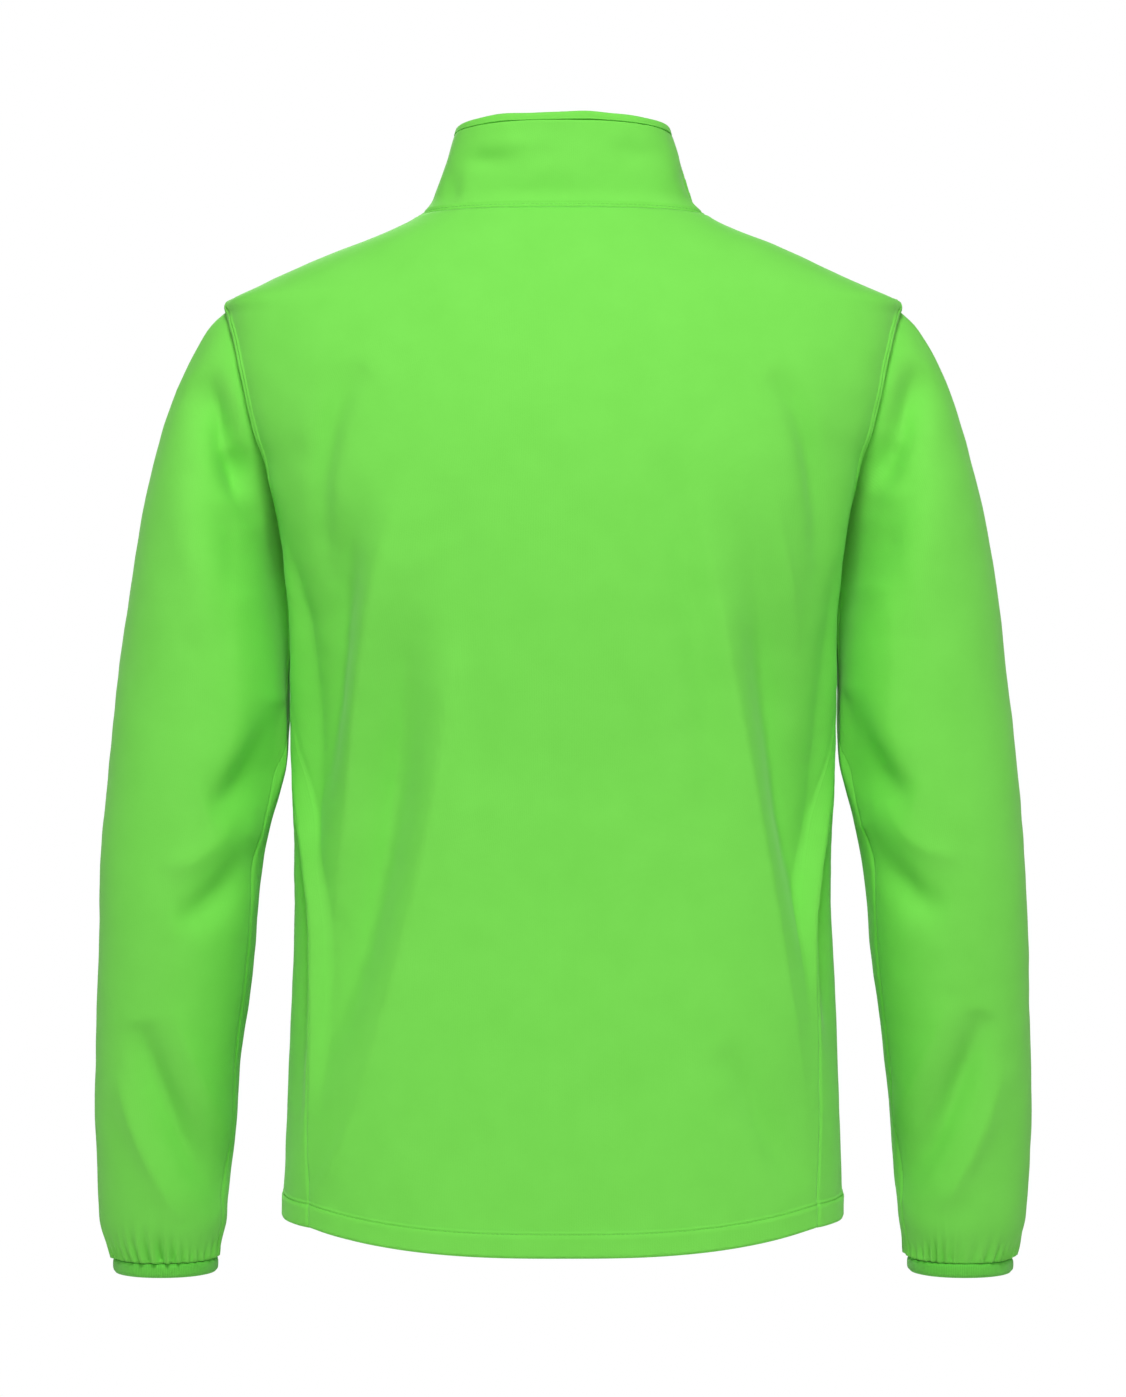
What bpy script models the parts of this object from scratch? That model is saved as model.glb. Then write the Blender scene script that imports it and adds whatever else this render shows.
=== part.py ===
"""A zipped softshell jacket, filled out as it is worn, with its sleeves down.

Metres, +Z up. The wearer faces -Y, and the wearer's left side is +X. The origin is the middle
of the neck opening, level with the seam of the collar. Every cut piece of cloth is a wall of
its own, and neighbours share a seam line, from which each stands back by half the seam gap.
"""

import math

import bmesh
import bpy
import numpy as np
from mathutils import Matrix
from mathutils import Vector

# Cloth and seams
CLOTH = 0.0020  # softshell with a fleece back
COLLAR_PLY = 0.0015
SEAM_GAP = 0.0003
HEM_DEPTH = 0.0145  # turned-up hem, edge to topstitch
HEM_PROUD = 0.0012

# Heights of the body
NECK_Z = -0.002
TIP_Z = -0.0604  # shoulder tip, top of the armhole
UNDERARM_Z = -0.255
HEM_SIDE_Z = -0.677
HEM_BACK_DROP = 0.013
HEM_FRONT_RISE = 0.005
HEM_CURVE_TOP_Z = -0.405  # where the rows begin to take on the hem's curve
NECK_FRONT_DROP = 0.070
NECK_FRONT_POWER = 2.3

# Seams of the body, seen from the side
SHOULDER_SEAM_Y = -0.012  # the seam lies just forward of the ridge
ARMHOLE_BACK = 0.058  # how far the armhole bows back from its middle
ARMHOLE_FRONT = 0.052
ARMHOLE_SKEW = 0.35  # bows more above its middle than below
ARMPIT_HALF = 0.042  # half the width, front to back, of the hollow below the arm
FRONT_EDGE_X = 0.005  # the fronts' edges, either side of the zip

# Collar
COLLAR_TOP_HALF_WIDTH = 0.0724
COLLAR_TOP_BACK = 0.058
COLLAR_TOP_FRONT = 0.084
COLLAR_TOP_Z = 0.058
COLLAR_TOP_BACK_RISE = 0.0038
COLLAR_TOP_FRONT_DROP = 0.066
COLLAR_FLARE = 0.006
COLLAR_FLARE_SHARE = 0.2  # of the height
COLLAR_HEIGHTS = (0.91, 0.68, 0.44, 0.20, 0.08, 0.0)  # the outer ply's rows, as shares

# Sleeve
SLEEVE_CLEARANCE = 0.0030  # sleeve to body, where they press together
CUFF_TOP_Z = -0.7138
CUFF_BOTTOM_Z = -0.7228
CUFF_PROUD = 0.0005
GATHER_DEPTH = 0.0022
UNDER_SLEEVE_BACK = 1  # columns of the under sleeve behind the arm's inner line
UNDER_SLEEVE_FRONT = 3  # and before it

# Grid sizes
SHOULDER_STEPS = 5
ARMHOLE_STEPS = 12
SIDE_STEPS = 12
BACK_COLUMNS = 24
FRONT_COLUMNS = 10
SLEEVE_HEAD_STEPS = 8
SLEEVE_TUBE_STEPS = 13

ROUNDNESS = 2.6  # the exponent of the body's cross-sections
SLEEVE_ROUNDNESS = 2.1
FACE_TO_SIDE = (0.55, 0.95)  # shares of the width between which the face turns into the side
TURNED_AWAY = 0.35  # how far a face must turn back or front to carry a fold whole

# The body's cross-sections. side_width is half the width at the sides, and face_width is the
# gentler one that the middles of the back and the front follow. Above the underarm they run
# on through the armhole, so that the panels' edges there can be read from them.
BODY_COLUMNS = ("z", "side_width", "face_width", "back", "front")
BODY_SECTIONS = (
    (0.000, 0.0945, 0.0945, 0.064, 0.034),
    (-0.0074, 0.1068, 0.1060, 0.070, 0.043),
    (-0.029, 0.1566, 0.1460, 0.0845, 0.056),
    (-0.051, 0.2060, 0.1770, 0.0962, 0.066),
    (-0.0604, 0.2262, 0.1870, 0.1004, 0.0705),
    (-0.0716, 0.2276, 0.1970, 0.1050, 0.077),
    (-0.0872, 0.2269, 0.2070, 0.1105, 0.0845),
    (-0.104, 0.2246, 0.2140, 0.1158, 0.0935),
    (-0.130, 0.2194, 0.2165, 0.1218, 0.1050),
    (-0.152, 0.2130, 0.2160, 0.1254, 0.1125),
    (-0.170, 0.2062, 0.2145, 0.1270, 0.1170),
    (-0.191, 0.2030, 0.2115, 0.1280, 0.1205),
    (-0.220, 0.1988, 0.2065, 0.1283, 0.1240),
    (-0.245, 0.1963, 0.2020, 0.1276, 0.1255),
    (-0.270, 0.1932, 0.1980, 0.1260, 0.1258),
    (-0.310, 0.1903, 0.1925, 0.1222, 0.1248),
    (-0.364, 0.1862, 0.1868, 0.117, 0.123),
    (-0.440, 0.1822, 0.1822, 0.115, 0.121),
    (-0.550, 0.1850, 0.1850, 0.120, 0.123),
    (-0.640, 0.1882, 0.1882, 0.125, 0.126),
    (-0.700, 0.1895, 0.1895, 0.128, 0.127),
)

# How deep the body's side is hollowed below the arm. The back's edge stands out over it.
ARMPIT_COLUMNS = ("z", "depth")
ARMPIT = (
    (-0.110, 0.0),
    (-0.135, 0.0010),
    (-0.150, 0.0045),
    (-0.165, 0.0095),
    (-0.183, 0.0140),
    (-0.201, 0.0160),
    (-0.235, 0.0160),
    (-0.255, 0.0150),
    (-0.278, 0.0120),
    (-0.310, 0.0070),
    (-0.351, 0.0025),
    (-0.400, 0.0),
)

# The side seam swings to the back below the waist: its angle round the body, in degrees.
SIDE_SEAM_COLUMNS = ("z", "angle")
SIDE_SEAM = (
    (-0.255, 0.0),
    (-0.370, 3.0),
    (-0.410, 9.0),
    (-0.440, 15.0),
    (-0.470, 21.0),
    (-0.510, 24.0),
    (-0.560, 26.0),
    (-0.620, 28.0),
    (-0.660, 30.5),
    (-0.700, 31.5),
)

# The sleeve's rings, below the level where it hangs as a whole tube.
SLEEVE_COLUMNS = ("z", "inner_x", "outer_x", "middle_y", "half_depth")
SLEEVE_SECTIONS = (
    (-0.310, 0.1790, 0.3008, 0.002, 0.067),
    (-0.345, 0.1785, 0.3048, 0.003, 0.065),
    (-0.364, 0.1820, 0.3067, 0.004, 0.064),
    (-0.382, 0.1880, 0.3087, 0.004, 0.063),
    (-0.432, 0.2013, 0.3128, 0.003, 0.060),
    (-0.500, 0.2090, 0.3158, -0.002, 0.057),
    (-0.5695, 0.2186, 0.3191, -0.012, 0.054),
    (-0.6394, 0.2266, 0.3201, -0.026, 0.051),
    (-0.6746, 0.2306, 0.3194, -0.032, 0.048),
    (-0.6903, 0.2323, 0.3178, -0.035, 0.0455),
    (-0.7030, 0.2362, 0.3138, -0.037, 0.0410),
    (-0.7138, 0.2390, 0.3090, -0.038, 0.0365),
)

# How far the sleeve's inner side slants, away from the body behind and to it before.
SLANT_COLUMNS = ("z", "slant")
SLEEVE_SLANT = (
    (-0.310, 0.0080),
    (-0.360, 0.0100),
    (-0.450, 0.0090),
    (-0.540, 0.0060),
    (-0.620, 0.0020),
    (-0.680, 0.0),
)
TUBE_TOP_Z = SLEEVE_SECTIONS[0][0]
SLEEVE_TUBE_Z = np.concatenate([
    np.linspace(TUBE_TOP_Z, CUFF_TOP_Z + 0.026, SLEEVE_TUBE_STEPS + 1),
    [CUFF_TOP_Z + 0.016, CUFF_TOP_Z + 0.0075, CUFF_TOP_Z],
])
GATHER_STRENGTH = {-4: 0.15, -3: 0.6, -2: 1.0}  # by row of the sleeve, counted from its last

# How a sleeve leaves the armhole: by the share of the way from the shoulder tip to the
# underarm, its first direction, and how hard it holds that direction and the next one, down.
HEAD_COLUMNS = ("share", "out", "back", "down", "start_pull", "end_pull")
SLEEVE_HEAD = (
    (0.0, 0.67, 0.00, 0.74, 0.23, 0.22),
    (0.5, 0.80, 0.12, 0.45, 0.14, 0.17),
    (0.8, 0.95, 0.06, 0.20, 0.07, 0.12),
    (1.0, 1.00, 0.00, 0.00, 0.030, 0.080),
)

# The largest folds. Columns: x and z of three points that each one's line runs through, seen
# from behind, then its height (a ridge is positive, a trough negative) and the half-width of
# its slopes.
BACK_FOLDS = (
    (0.108, -0.200, 0.138, -0.340, 0.162, -0.485, 0.0060, 0.016),
    (0.137, -0.262, 0.163, -0.343, 0.168, -0.432, -0.0050, 0.012),
    (0.104, -0.350, 0.124, -0.460, 0.142, -0.565, -0.0060, 0.014),
    (0.088, -0.380, 0.106, -0.520, 0.155, -0.645, 0.0050, 0.016),
    (0.126, -0.115, 0.138, -0.146, 0.158, -0.178, -0.0045, 0.012),
    (-0.088, -0.235, -0.119, -0.380, -0.166, -0.600, 0.0065, 0.017),
    (-0.114, -0.285, -0.142, -0.390, -0.166, -0.497, -0.0055, 0.013),
    (-0.130, -0.118, -0.142, -0.146, -0.164, -0.170, -0.0040, 0.012),
    (0.000, -0.330, 0.003, -0.440, 0.000, -0.590, -0.0025, 0.020),
    (0.066, -0.190, 0.064, -0.280, 0.060, -0.380, -0.0022, 0.015),
    (-0.078, -0.180, -0.074, -0.270, -0.062, -0.370, -0.0024, 0.015),
)
FRONT_FOLDS = (
    (0.112, -0.210, 0.134, -0.340, 0.150, -0.470, 0.0055, 0.017),
    (0.088, -0.300, 0.108, -0.420, 0.132, -0.560, -0.0050, 0.014),
    (0.145, -0.390, 0.126, -0.500, 0.140, -0.610, 0.0040, 0.016),
    (-0.100, -0.230, -0.126, -0.360, -0.152, -0.520, 0.0055, 0.017),
    (-0.130, -0.290, -0.150, -0.390, -0.158, -0.490, -0.0045, 0.013),
    (-0.070, -0.380, -0.084, -0.480, -0.108, -0.600, -0.0040, 0.015),
    (0.120, -0.120, 0.134, -0.150, 0.150, -0.180, -0.0035, 0.012),
    (-0.120, -0.118, -0.136, -0.146, -0.152, -0.172, -0.0035, 0.012),
)

# The same for the left sleeve, with x from the middle of the jacket; the right one mirrors it.
SLEEVE_BACK_FOLDS = (
    (0.245, -0.118, 0.222, -0.160, 0.206, -0.200, -0.0045, 0.012),
    (0.195, -0.330, 0.214, -0.365, 0.240, -0.392, -0.0045, 0.012),
    (0.205, -0.420, 0.230, -0.450, 0.262, -0.462, -0.0035, 0.012),
    (0.278, -0.555, 0.262, -0.606, 0.228, -0.676, -0.0050, 0.012),
    (0.296, -0.575, 0.286, -0.625, 0.262, -0.680, 0.0040, 0.013),
)
SLEEVE_FRONT_FOLDS = (
    (0.250, -0.130, 0.228, -0.170, 0.212, -0.210, -0.0040, 0.012),
    (0.205, -0.400, 0.240, -0.425, 0.285, -0.415, -0.0050, 0.013),
    (0.212, -0.455, 0.245, -0.470, 0.290, -0.455, 0.0040, 0.013),
    (0.225, -0.560, 0.250, -0.610, 0.285, -0.650, -0.0045, 0.013),
)

# Zip
CHAIN_HALF_WIDTH = 0.0028
TAPE_INNER_X = 0.0032
TAPE_OUTER_X = 0.0130
TAPE_BOW = 0.0030  # how far the tape's outer edge lies deeper, round the collar's curve
TAPE_THICKNESS = 0.0010
TAPE_DEPTH_BODY = CLOTH + 3 * SEAM_GAP  # below the fronts' outer face
TAPE_DEPTH_COLLAR = 2 * COLLAR_PLY + 6 * SEAM_GAP
CHAIN_THICKNESS = 0.0018
ZIP_STEPS = 20
ZIP_END_ABOVE_HEM = 0.004
ZIP_FINE_ABOVE_Z = -0.100  # shorter steps where the zip bends into the collar
ZIP_BEHIND_COLLAR_Z = (-0.096, -0.082)  # where its tapes go deeper, behind the two plies
SLIDER_BELOW_TOP = 0.0095

# Slider and pull tab, in millimetres in the slider's own frame
SLIDER_HALF_LENGTH = 4.5
BRIDGE_Y = -1.9
HINGE_Y = 0.5
PULL_THICKNESS = 1.2

# Colours, linear
SHELL_COLOUR = (0.20, 0.72, 0.10)
TAPE_COLOUR = (0.15, 0.60, 0.08)
METAL_COLOUR = (0.45, 0.46, 0.45)

MILLIMETRE = 0.001


# ---------------------------------------------------------------- curves and tables

def unit(vectors):
    """Vectors of length one."""
    return vectors / np.linalg.norm(vectors, axis=-1, keepdims=True)


def column(table, names, name):
    """One named column of a table."""
    return np.array([row[names.index(name)] for row in table])


def smooth_curve(knots, values):
    """A smooth function of one number through the given values. Knots may rise or fall."""
    order = np.argsort(knots)
    knots = np.asarray(knots, float)[order]
    values = np.asarray(values, float)[order]
    slopes = np.gradient(values, knots)

    def at(x):
        x = np.clip(x, knots[0], knots[-1])
        left = np.clip(np.searchsorted(knots, x) - 1, 0, len(knots) - 2)
        width = knots[left + 1] - knots[left]
        t = (x - knots[left]) / width
        start = values[left] * (1 + 2 * t) * (1 - t) ** 2
        end = values[left + 1] * t ** 2 * (3 - 2 * t)
        bend = slopes[left] * t * (1 - t) ** 2 - slopes[left + 1] * t ** 2 * (1 - t)
        return start + end + bend * width

    return at


def table_curve(table, names, name):
    """The smooth function of a table's first column that one of its other columns gives."""
    return smooth_curve(column(table, names, names[0]), column(table, names, name))


def smooth_step(low, high, x):
    """0 below low, 1 above high, and smooth between."""
    t = np.clip((x - low) / (high - low), 0, 1)
    return t * t * (3 - 2 * t)


def grid_normals(points, closed):
    """The outward normals of a grid [row][column] whose columns run round to the right."""
    if closed:
        across = np.roll(points, -1, axis=1) - np.roll(points, 1, axis=1)
    else:
        across = np.gradient(points, axis=1)
    along = np.gradient(points, axis=0)
    return unit(np.cross(along, across))


def fold_heights(points, facing, folds):
    """How far folds lift each point: facing is 1 on the side they lie on and 0 on the other."""
    height = np.zeros(points.shape[:-1])
    t = np.linspace(0, 1, 25)
    for x0, z0, x1, z1, x2, z2, peak, width in folds:
        bend_x = 2 * x1 - (x0 + x2) / 2
        bend_z = 2 * z1 - (z0 + z2) / 2
        line_x = (1 - t) ** 2 * x0 + 2 * t * (1 - t) * bend_x + t ** 2 * x2
        line_z = (1 - t) ** 2 * z0 + 2 * t * (1 - t) * bend_z + t ** 2 * z2
        apart = np.hypot(points[..., 0, None] - line_x, points[..., 2, None] - line_z)
        nearest = apart.argmin(axis=-1)
        taper = np.sin(math.pi * (0.08 + 0.84 * t[nearest]))
        height += peak * taper * np.exp(-(apart.min(axis=-1) / width) ** 2)
    return height * facing


# ---------------------------------------------------------------- the body's surface

SIDE_WIDTH = table_curve(BODY_SECTIONS, BODY_COLUMNS, "side_width")
FACE_WIDTH = table_curve(BODY_SECTIONS, BODY_COLUMNS, "face_width")
BACK_DEPTH = table_curve(BODY_SECTIONS, BODY_COLUMNS, "back")
FRONT_DEPTH = table_curve(BODY_SECTIONS, BODY_COLUMNS, "front")
SIDE_SEAM_ANGLE = table_curve(SIDE_SEAM, SIDE_SEAM_COLUMNS, "angle")
ARMPIT_DEPTH = table_curve(ARMPIT, ARMPIT_COLUMNS, "depth")


def armpit_hollow(y, z):
    """How far the body's side is hollowed at a point of it."""
    return ARMPIT_DEPTH(z) * np.exp(-(y / ARMPIT_HALF) ** 2)


def body_point(angle, z):
    """A point of the body's outer face: angle 0 is the left side, and 90 degrees the back."""
    cos, sin = np.cos(angle), np.sin(angle)
    power = 2 / ROUNDNESS
    depth = np.where(sin >= 0, BACK_DEPTH(z), FRONT_DEPTH(z))
    share = np.abs(cos) ** power
    at_side = smooth_step(*FACE_TO_SIDE, share)
    x = (FACE_WIDTH(z) * (1 - at_side) + SIDE_WIDTH(z) * at_side) * np.sign(cos) * share
    y = depth * np.sign(sin) * np.abs(sin) ** power
    x = x - np.sign(cos) * armpit_hollow(y, z) * at_side
    return np.stack([x, y, z + np.zeros_like(x)], axis=-1)


def body_normal(angle, z):
    """The outward normal of the body's smooth face."""
    turn, drop = 0.02, 0.001
    across = body_point(angle + turn, z) - body_point(angle - turn, z)
    along = body_point(angle, z - drop) - body_point(angle, z + drop)
    return unit(np.cross(along, across))


def angle_at(y, z):
    """The angle round the left half of the body at which its face has this y."""
    depth = np.where(y >= 0, BACK_DEPTH(z), FRONT_DEPTH(z))
    return np.sign(y) * np.arcsin(np.clip(np.abs(y) / depth, 0, 1) ** (ROUNDNESS / 2))


def angle_at_x(x, z):
    """The angle, just short of 90 degrees, at which the body's face has this small x."""
    return np.arccos((x / FACE_WIDTH(z)) ** (ROUNDNESS / 2))


def side_edge(facing):
    """The outer edge of a back (facing 1) or a front (-1): angles and heights, neck to hem.

    It runs down the shoulder seam, the armhole and the side seam.
    """
    shoulder_z = np.linspace(NECK_Z, TIP_Z, SHOULDER_STEPS + 1)[:-1]
    shoulder = angle_at(np.full_like(shoulder_z, SHOULDER_SEAM_Y), shoulder_z)
    turn = np.linspace(0, math.pi, ARMHOLE_STEPS + 1)
    armhole_z = TIP_Z + (UNDERARM_Z - TIP_Z) * (1 - np.cos(turn)) / 2
    bow = ARMHOLE_BACK if facing > 0 else ARMHOLE_FRONT
    skewed = np.sin(turn) * (1 + ARMHOLE_SKEW * np.cos(turn))
    armhole_y = SHOULDER_SEAM_Y * (1 + np.cos(turn)) / 2 + facing * bow * skewed
    armhole = angle_at(armhole_y, armhole_z)
    armhole[-1] = 0
    side_share = np.linspace(0, 1, SIDE_STEPS + 1)[1:] ** 1.3
    side_z = UNDERARM_Z + (HEM_SIDE_Z + HEM_DEPTH + MILLIMETRE - UNDERARM_Z) * side_share
    hem_z = np.array([HEM_SIDE_Z + HEM_DEPTH, HEM_SIDE_Z])
    side_z = np.concatenate([side_z, hem_z])
    side = np.radians(SIDE_SEAM_ANGLE(side_z))
    heights = np.concatenate([shoulder_z, armhole_z, side_z])
    return np.concatenate([shoulder, armhole, side]), heights


def hem_share(z):
    """How much of the hem's curve a row at this height has taken on."""
    end = HEM_SIDE_Z + HEM_DEPTH
    return np.clip((HEM_CURVE_TOP_Z - z) / (HEM_CURVE_TOP_Z - end), 0, 1) ** 1.5


def back_face():
    """The back's outer face and normals, from the left side to the right one."""
    edge, heights = side_edge(1)
    share = np.linspace(0, 1, BACK_COLUMNS + 1)
    angles = edge[:, None] + (math.pi - 2 * edge[:, None]) * share
    drop = HEM_BACK_DROP * np.sin(math.pi * share) ** 1.2 * hem_share(heights)[:, None]
    z = heights[:, None] - drop
    return body_point(angles, z), body_normal(angles, z)


def front_face():
    """The left front's outer face and normals, from the zip to its outer edge."""
    edge, heights = side_edge(-1)
    share = np.linspace(1, 0, FRONT_COLUMNS + 1)
    fall = NECK_FRONT_DROP * (1 - smooth_step(NECK_Z, UNDERARM_Z, heights))
    z = heights[:, None] - fall[:, None] * share ** NECK_FRONT_POWER
    z = z + HEM_FRONT_RISE * share ** 1.5 * hem_share(heights)[:, None]
    zip_edge = -angle_at_x(FRONT_EDGE_X, z[:, 0])
    angles = edge[:, None] + (zip_edge - edge)[:, None] * share
    return body_point(angles, z), body_normal(angles, z)


def mirrored(vectors):
    """The same points or directions on the other side, still running round to the right."""
    return (vectors * np.array([-1, 1, 1]))[:, ::-1]


def body_folds(points, normals):
    """How far the body's folds lift each point of its face."""
    behind = smooth_step(0, TURNED_AWAY, normals[..., 1])
    before = smooth_step(0, TURNED_AWAY, -normals[..., 1])
    return fold_heights(points, behind, BACK_FOLDS) + fold_heights(points, before, FRONT_FOLDS)


# ---------------------------------------------------------------- the collar's surface

def collar_point(neck, share, height):
    """A point of the collar's outer face, above a point of the neck seam.

    share runs from 0 at the zip, round the left side and the back, to 1 at the zip again.
    """
    zip_angle = math.acos((FRONT_EDGE_X / COLLAR_TOP_HALF_WIDTH) ** (ROUNDNESS / 2))
    seam_angle = math.asin((-SHOULDER_SEAM_Y / COLLAR_TOP_FRONT) ** (ROUNDNESS / 2))
    columns = BACK_COLUMNS + 2 * FRONT_COLUMNS
    stops = np.array([0, FRONT_COLUMNS, FRONT_COLUMNS + BACK_COLUMNS, columns]) / columns
    turns = np.array([-zip_angle, -seam_angle, math.pi + seam_angle, math.pi + zip_angle])
    angle = np.interp(share, stops, turns)
    cos, sin = np.cos(angle), np.sin(angle)
    power = 2 / ROUNDNESS
    depth = np.where(sin >= 0, COLLAR_TOP_BACK, COLLAR_TOP_FRONT)
    front_drop = COLLAR_TOP_FRONT_DROP * np.clip(-sin, 0, 1) ** 2.2
    rim = np.stack([
        COLLAR_TOP_HALF_WIDTH * np.sign(cos) * np.abs(cos) ** power,
        depth * np.sign(sin) * np.abs(sin) ** power,
        COLLAR_TOP_Z + COLLAR_TOP_BACK_RISE * np.clip(sin, 0, 1) ** 2 - front_drop,
    ], axis=-1)
    outward = unit(neck * np.array([1, 1, 0]))
    flare = np.clip(1 - height / COLLAR_FLARE_SHARE, 0, 1) ** 2
    dip = COLLAR_FLARE * ((1 - height) - flare)
    return neck + (rim - neck) * height - outward * dip


def collar_face(neck, heights):
    """The collar's outer face and normals at these shares of its height, from the top down."""
    share = np.linspace(0, 1, len(neck))
    step = 0.01
    points = np.array([collar_point(neck, share, height) for height in heights])
    above = np.array([collar_point(neck, share, height + step) for height in heights])
    below = np.array([collar_point(neck, share, max(height - step, 0)) for height in heights])
    across = np.gradient(points, axis=1)
    return points, unit(np.cross(below - above, across))


# ---------------------------------------------------------------- the sleeve's surface

INNER_X = table_curve(SLEEVE_SECTIONS, SLEEVE_COLUMNS, "inner_x")
OUTER_X = table_curve(SLEEVE_SECTIONS, SLEEVE_COLUMNS, "outer_x")
MIDDLE_Y = table_curve(SLEEVE_SECTIONS, SLEEVE_COLUMNS, "middle_y")
HALF_DEPTH = table_curve(SLEEVE_SECTIONS, SLEEVE_COLUMNS, "half_depth")
SLANT = table_curve(SLEEVE_SLANT, SLANT_COLUMNS, "slant")


def sleeve_ring(turn, z):
    """A point of the left sleeve's tube: turn 0 is its outer side, and 90 degrees its back."""
    power = 2 / SLEEVE_ROUNDNESS
    cos, sin = np.cos(turn), np.sin(turn)
    x = (OUTER_X(z) + INNER_X(z)) / 2
    x = x + (OUTER_X(z) - INNER_X(z)) / 2 * np.sign(cos) * np.abs(cos) ** power
    x = x + SLANT(z) * np.clip(-cos, 0, 1) * (0.75 * (1 + sin) / 2 - 0.25)
    y = MIDDLE_Y(z) + HALF_DEPTH(z) * np.sign(sin) * np.abs(sin) ** power
    return np.stack([x, y, z + np.zeros_like(x)], axis=-1)


def clear_of_body(points):
    """The sleeve's points, pressed out to keep their clearance from the body's side."""
    x, y, z = points[..., 0], points[..., 1], points[..., 2]
    depth = np.where(y >= 0, BACK_DEPTH(z), FRONT_DEPTH(z))
    bow = np.clip(1 - (np.abs(y) / depth) ** ROUNDNESS, 0, 1) ** (1 / ROUNDNESS)
    least = SIDE_WIDTH(z) * bow - armpit_hollow(y, z) + SLEEVE_CLEARANCE
    soft = 0.003
    pressed = (x + least + np.sqrt((x - least) ** 2 + soft ** 2)) / 2
    share = smooth_step(UNDERARM_Z, UNDERARM_Z - 0.012, z)
    moved = points.copy()
    moved[..., 0] = x + (pressed - x) * share
    return moved


def sleeve_face(armhole):
    """The left sleeve's outer face, from the armhole's points down to the cuff's seam.

    Its columns start at the shoulder tip, and run round the back to the underarm.
    """
    columns = len(armhole)
    turn = np.linspace(0, 2 * math.pi, columns, endpoint=False)
    share = (1 - np.cos(turn)) / 2
    leave = {name: table_curve(SLEEVE_HEAD, HEAD_COLUMNS, name)(share) for name in HEAD_COLUMNS}
    start = unit(np.stack([leave["out"], leave["back"] * np.sin(turn), -leave["down"]], axis=-1))
    start = start * leave["start_pull"][:, None]
    ring = sleeve_ring(turn, np.full(columns, TUBE_TOP_Z))
    below = sleeve_ring(turn, np.full(columns, TUBE_TOP_Z - 0.01))
    end = unit(below - ring) * leave["end_pull"][:, None]
    rows = []
    for t in np.linspace(0, 1, SLEEVE_HEAD_STEPS + 1)[:-1]:
        row = armhole * (1 + 2 * t) * (1 - t) ** 2 + ring * t ** 2 * (3 - 2 * t)
        rows.append(row + start * t * (1 - t) ** 2 - end * t ** 2 * (1 - t))
    for z in SLEEVE_TUBE_Z:
        rows.append(sleeve_ring(turn, np.full(columns, z)))
    return clear_of_body(np.array(rows))


def sleeve_folds(points, normals, side):
    """How far the folds and the cuff's gathers lift each point of a sleeve (side 1 or -1)."""
    placed = points * np.array([side, 1, 1])
    behind = smooth_step(0, TURNED_AWAY, normals[..., 1])
    before = smooth_step(0, TURNED_AWAY, -normals[..., 1])
    lift = fold_heights(placed, behind, SLEEVE_BACK_FOLDS)
    lift += fold_heights(placed, before, SLEEVE_FRONT_FOLDS)
    head = np.linspace(0, 1, SLEEVE_HEAD_STEPS + 1)
    fade = np.ones(len(points))
    fade[:len(head)] = smooth_step(0.0, 0.3, head)
    lift *= fade[:, None]
    wave = np.where(np.arange(points.shape[1]) % 2 == 0, 1.0, -1.0)
    for row, strength in GATHER_STRENGTH.items():
        lift[row] += GATHER_DEPTH / 2 * strength * wave
    lift[-1] = 0
    return lift


# ---------------------------------------------------------------- solids from faces

def border(rows, columns):
    """The rows and columns of an open grid's border, clockwise as seen from outside."""
    loop = [(0, c) for c in range(columns)]
    loop += [(r, columns - 1) for r in range(1, rows)]
    loop += [(rows - 1, c) for c in range(columns - 2, -1, -1)]
    loop += [(r, 0) for r in range(rows - 2, 0, -1)]
    return np.array(loop).T


def drawn_back(points, normals):
    """An open grid with its border drawn back from the seam lines by half the seam gap."""
    row, col = border(*points.shape[:2])
    edge = points[row, col]
    after = unit(np.roll(edge, -1, axis=0) - edge)
    in_after = unit(np.cross(after, normals[row, col]))
    in_before = unit(np.cross(np.roll(after, 1, axis=0), normals[row, col]))
    between = 1 + np.sum(in_before * in_after, axis=-1, keepdims=True)
    moved = points.copy()
    moved[row, col] += SEAM_GAP / 2 * (in_before + in_after) / between
    return moved


def grid_faces(rows, columns, start, closed, flip):
    """Triangles between a grid's points, numbered row by row from start.

    Every cell is split the same way, so that two faces a seam gap apart never cross.
    """
    faces = []
    for r in range(rows - 1):
        for c in range(columns if closed else columns - 1):
            a = start + r * columns + c
            b = start + r * columns + (c + 1) % columns
            d, e = a + columns, b + columns
            faces += [(a, b, e), (a, e, d)] if flip else [(a, e, b), (a, d, e)]
    return faces


def edge_faces(ring, behind, points):
    """Triangles across a wall's edge, split alike on both pieces that share a seam."""
    high = points @ np.array([0.31, 0.17, 1.0])
    faces = []
    for a, b in zip(ring, ring[1:] + ring[:1]):
        c, d = b + behind, a + behind
        faces += [(a, b, c), (a, c, d)] if high[a] > high[b] else [(a, b, d), (b, c, d)]
    return faces


def add_object(name, vertices, faces, material, parent):
    """A closed mesh as a named object, with its faces pointing out."""
    mesh = bpy.data.meshes.new(name)
    mesh.from_pydata([tuple(v) for v in vertices], [], faces)
    shape = bmesh.new()
    shape.from_mesh(mesh)
    bmesh.ops.recalc_face_normals(shape, faces=shape.faces)
    shape.to_mesh(mesh)
    shape.free()
    mesh.materials.append(material)
    mesh.shade_smooth()
    mesh.set_sharp_from_angle(angle=math.radians(40))
    piece = bpy.data.objects.new(name, mesh)
    piece.parent = parent
    bpy.context.collection.objects.link(piece)
    return piece


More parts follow.
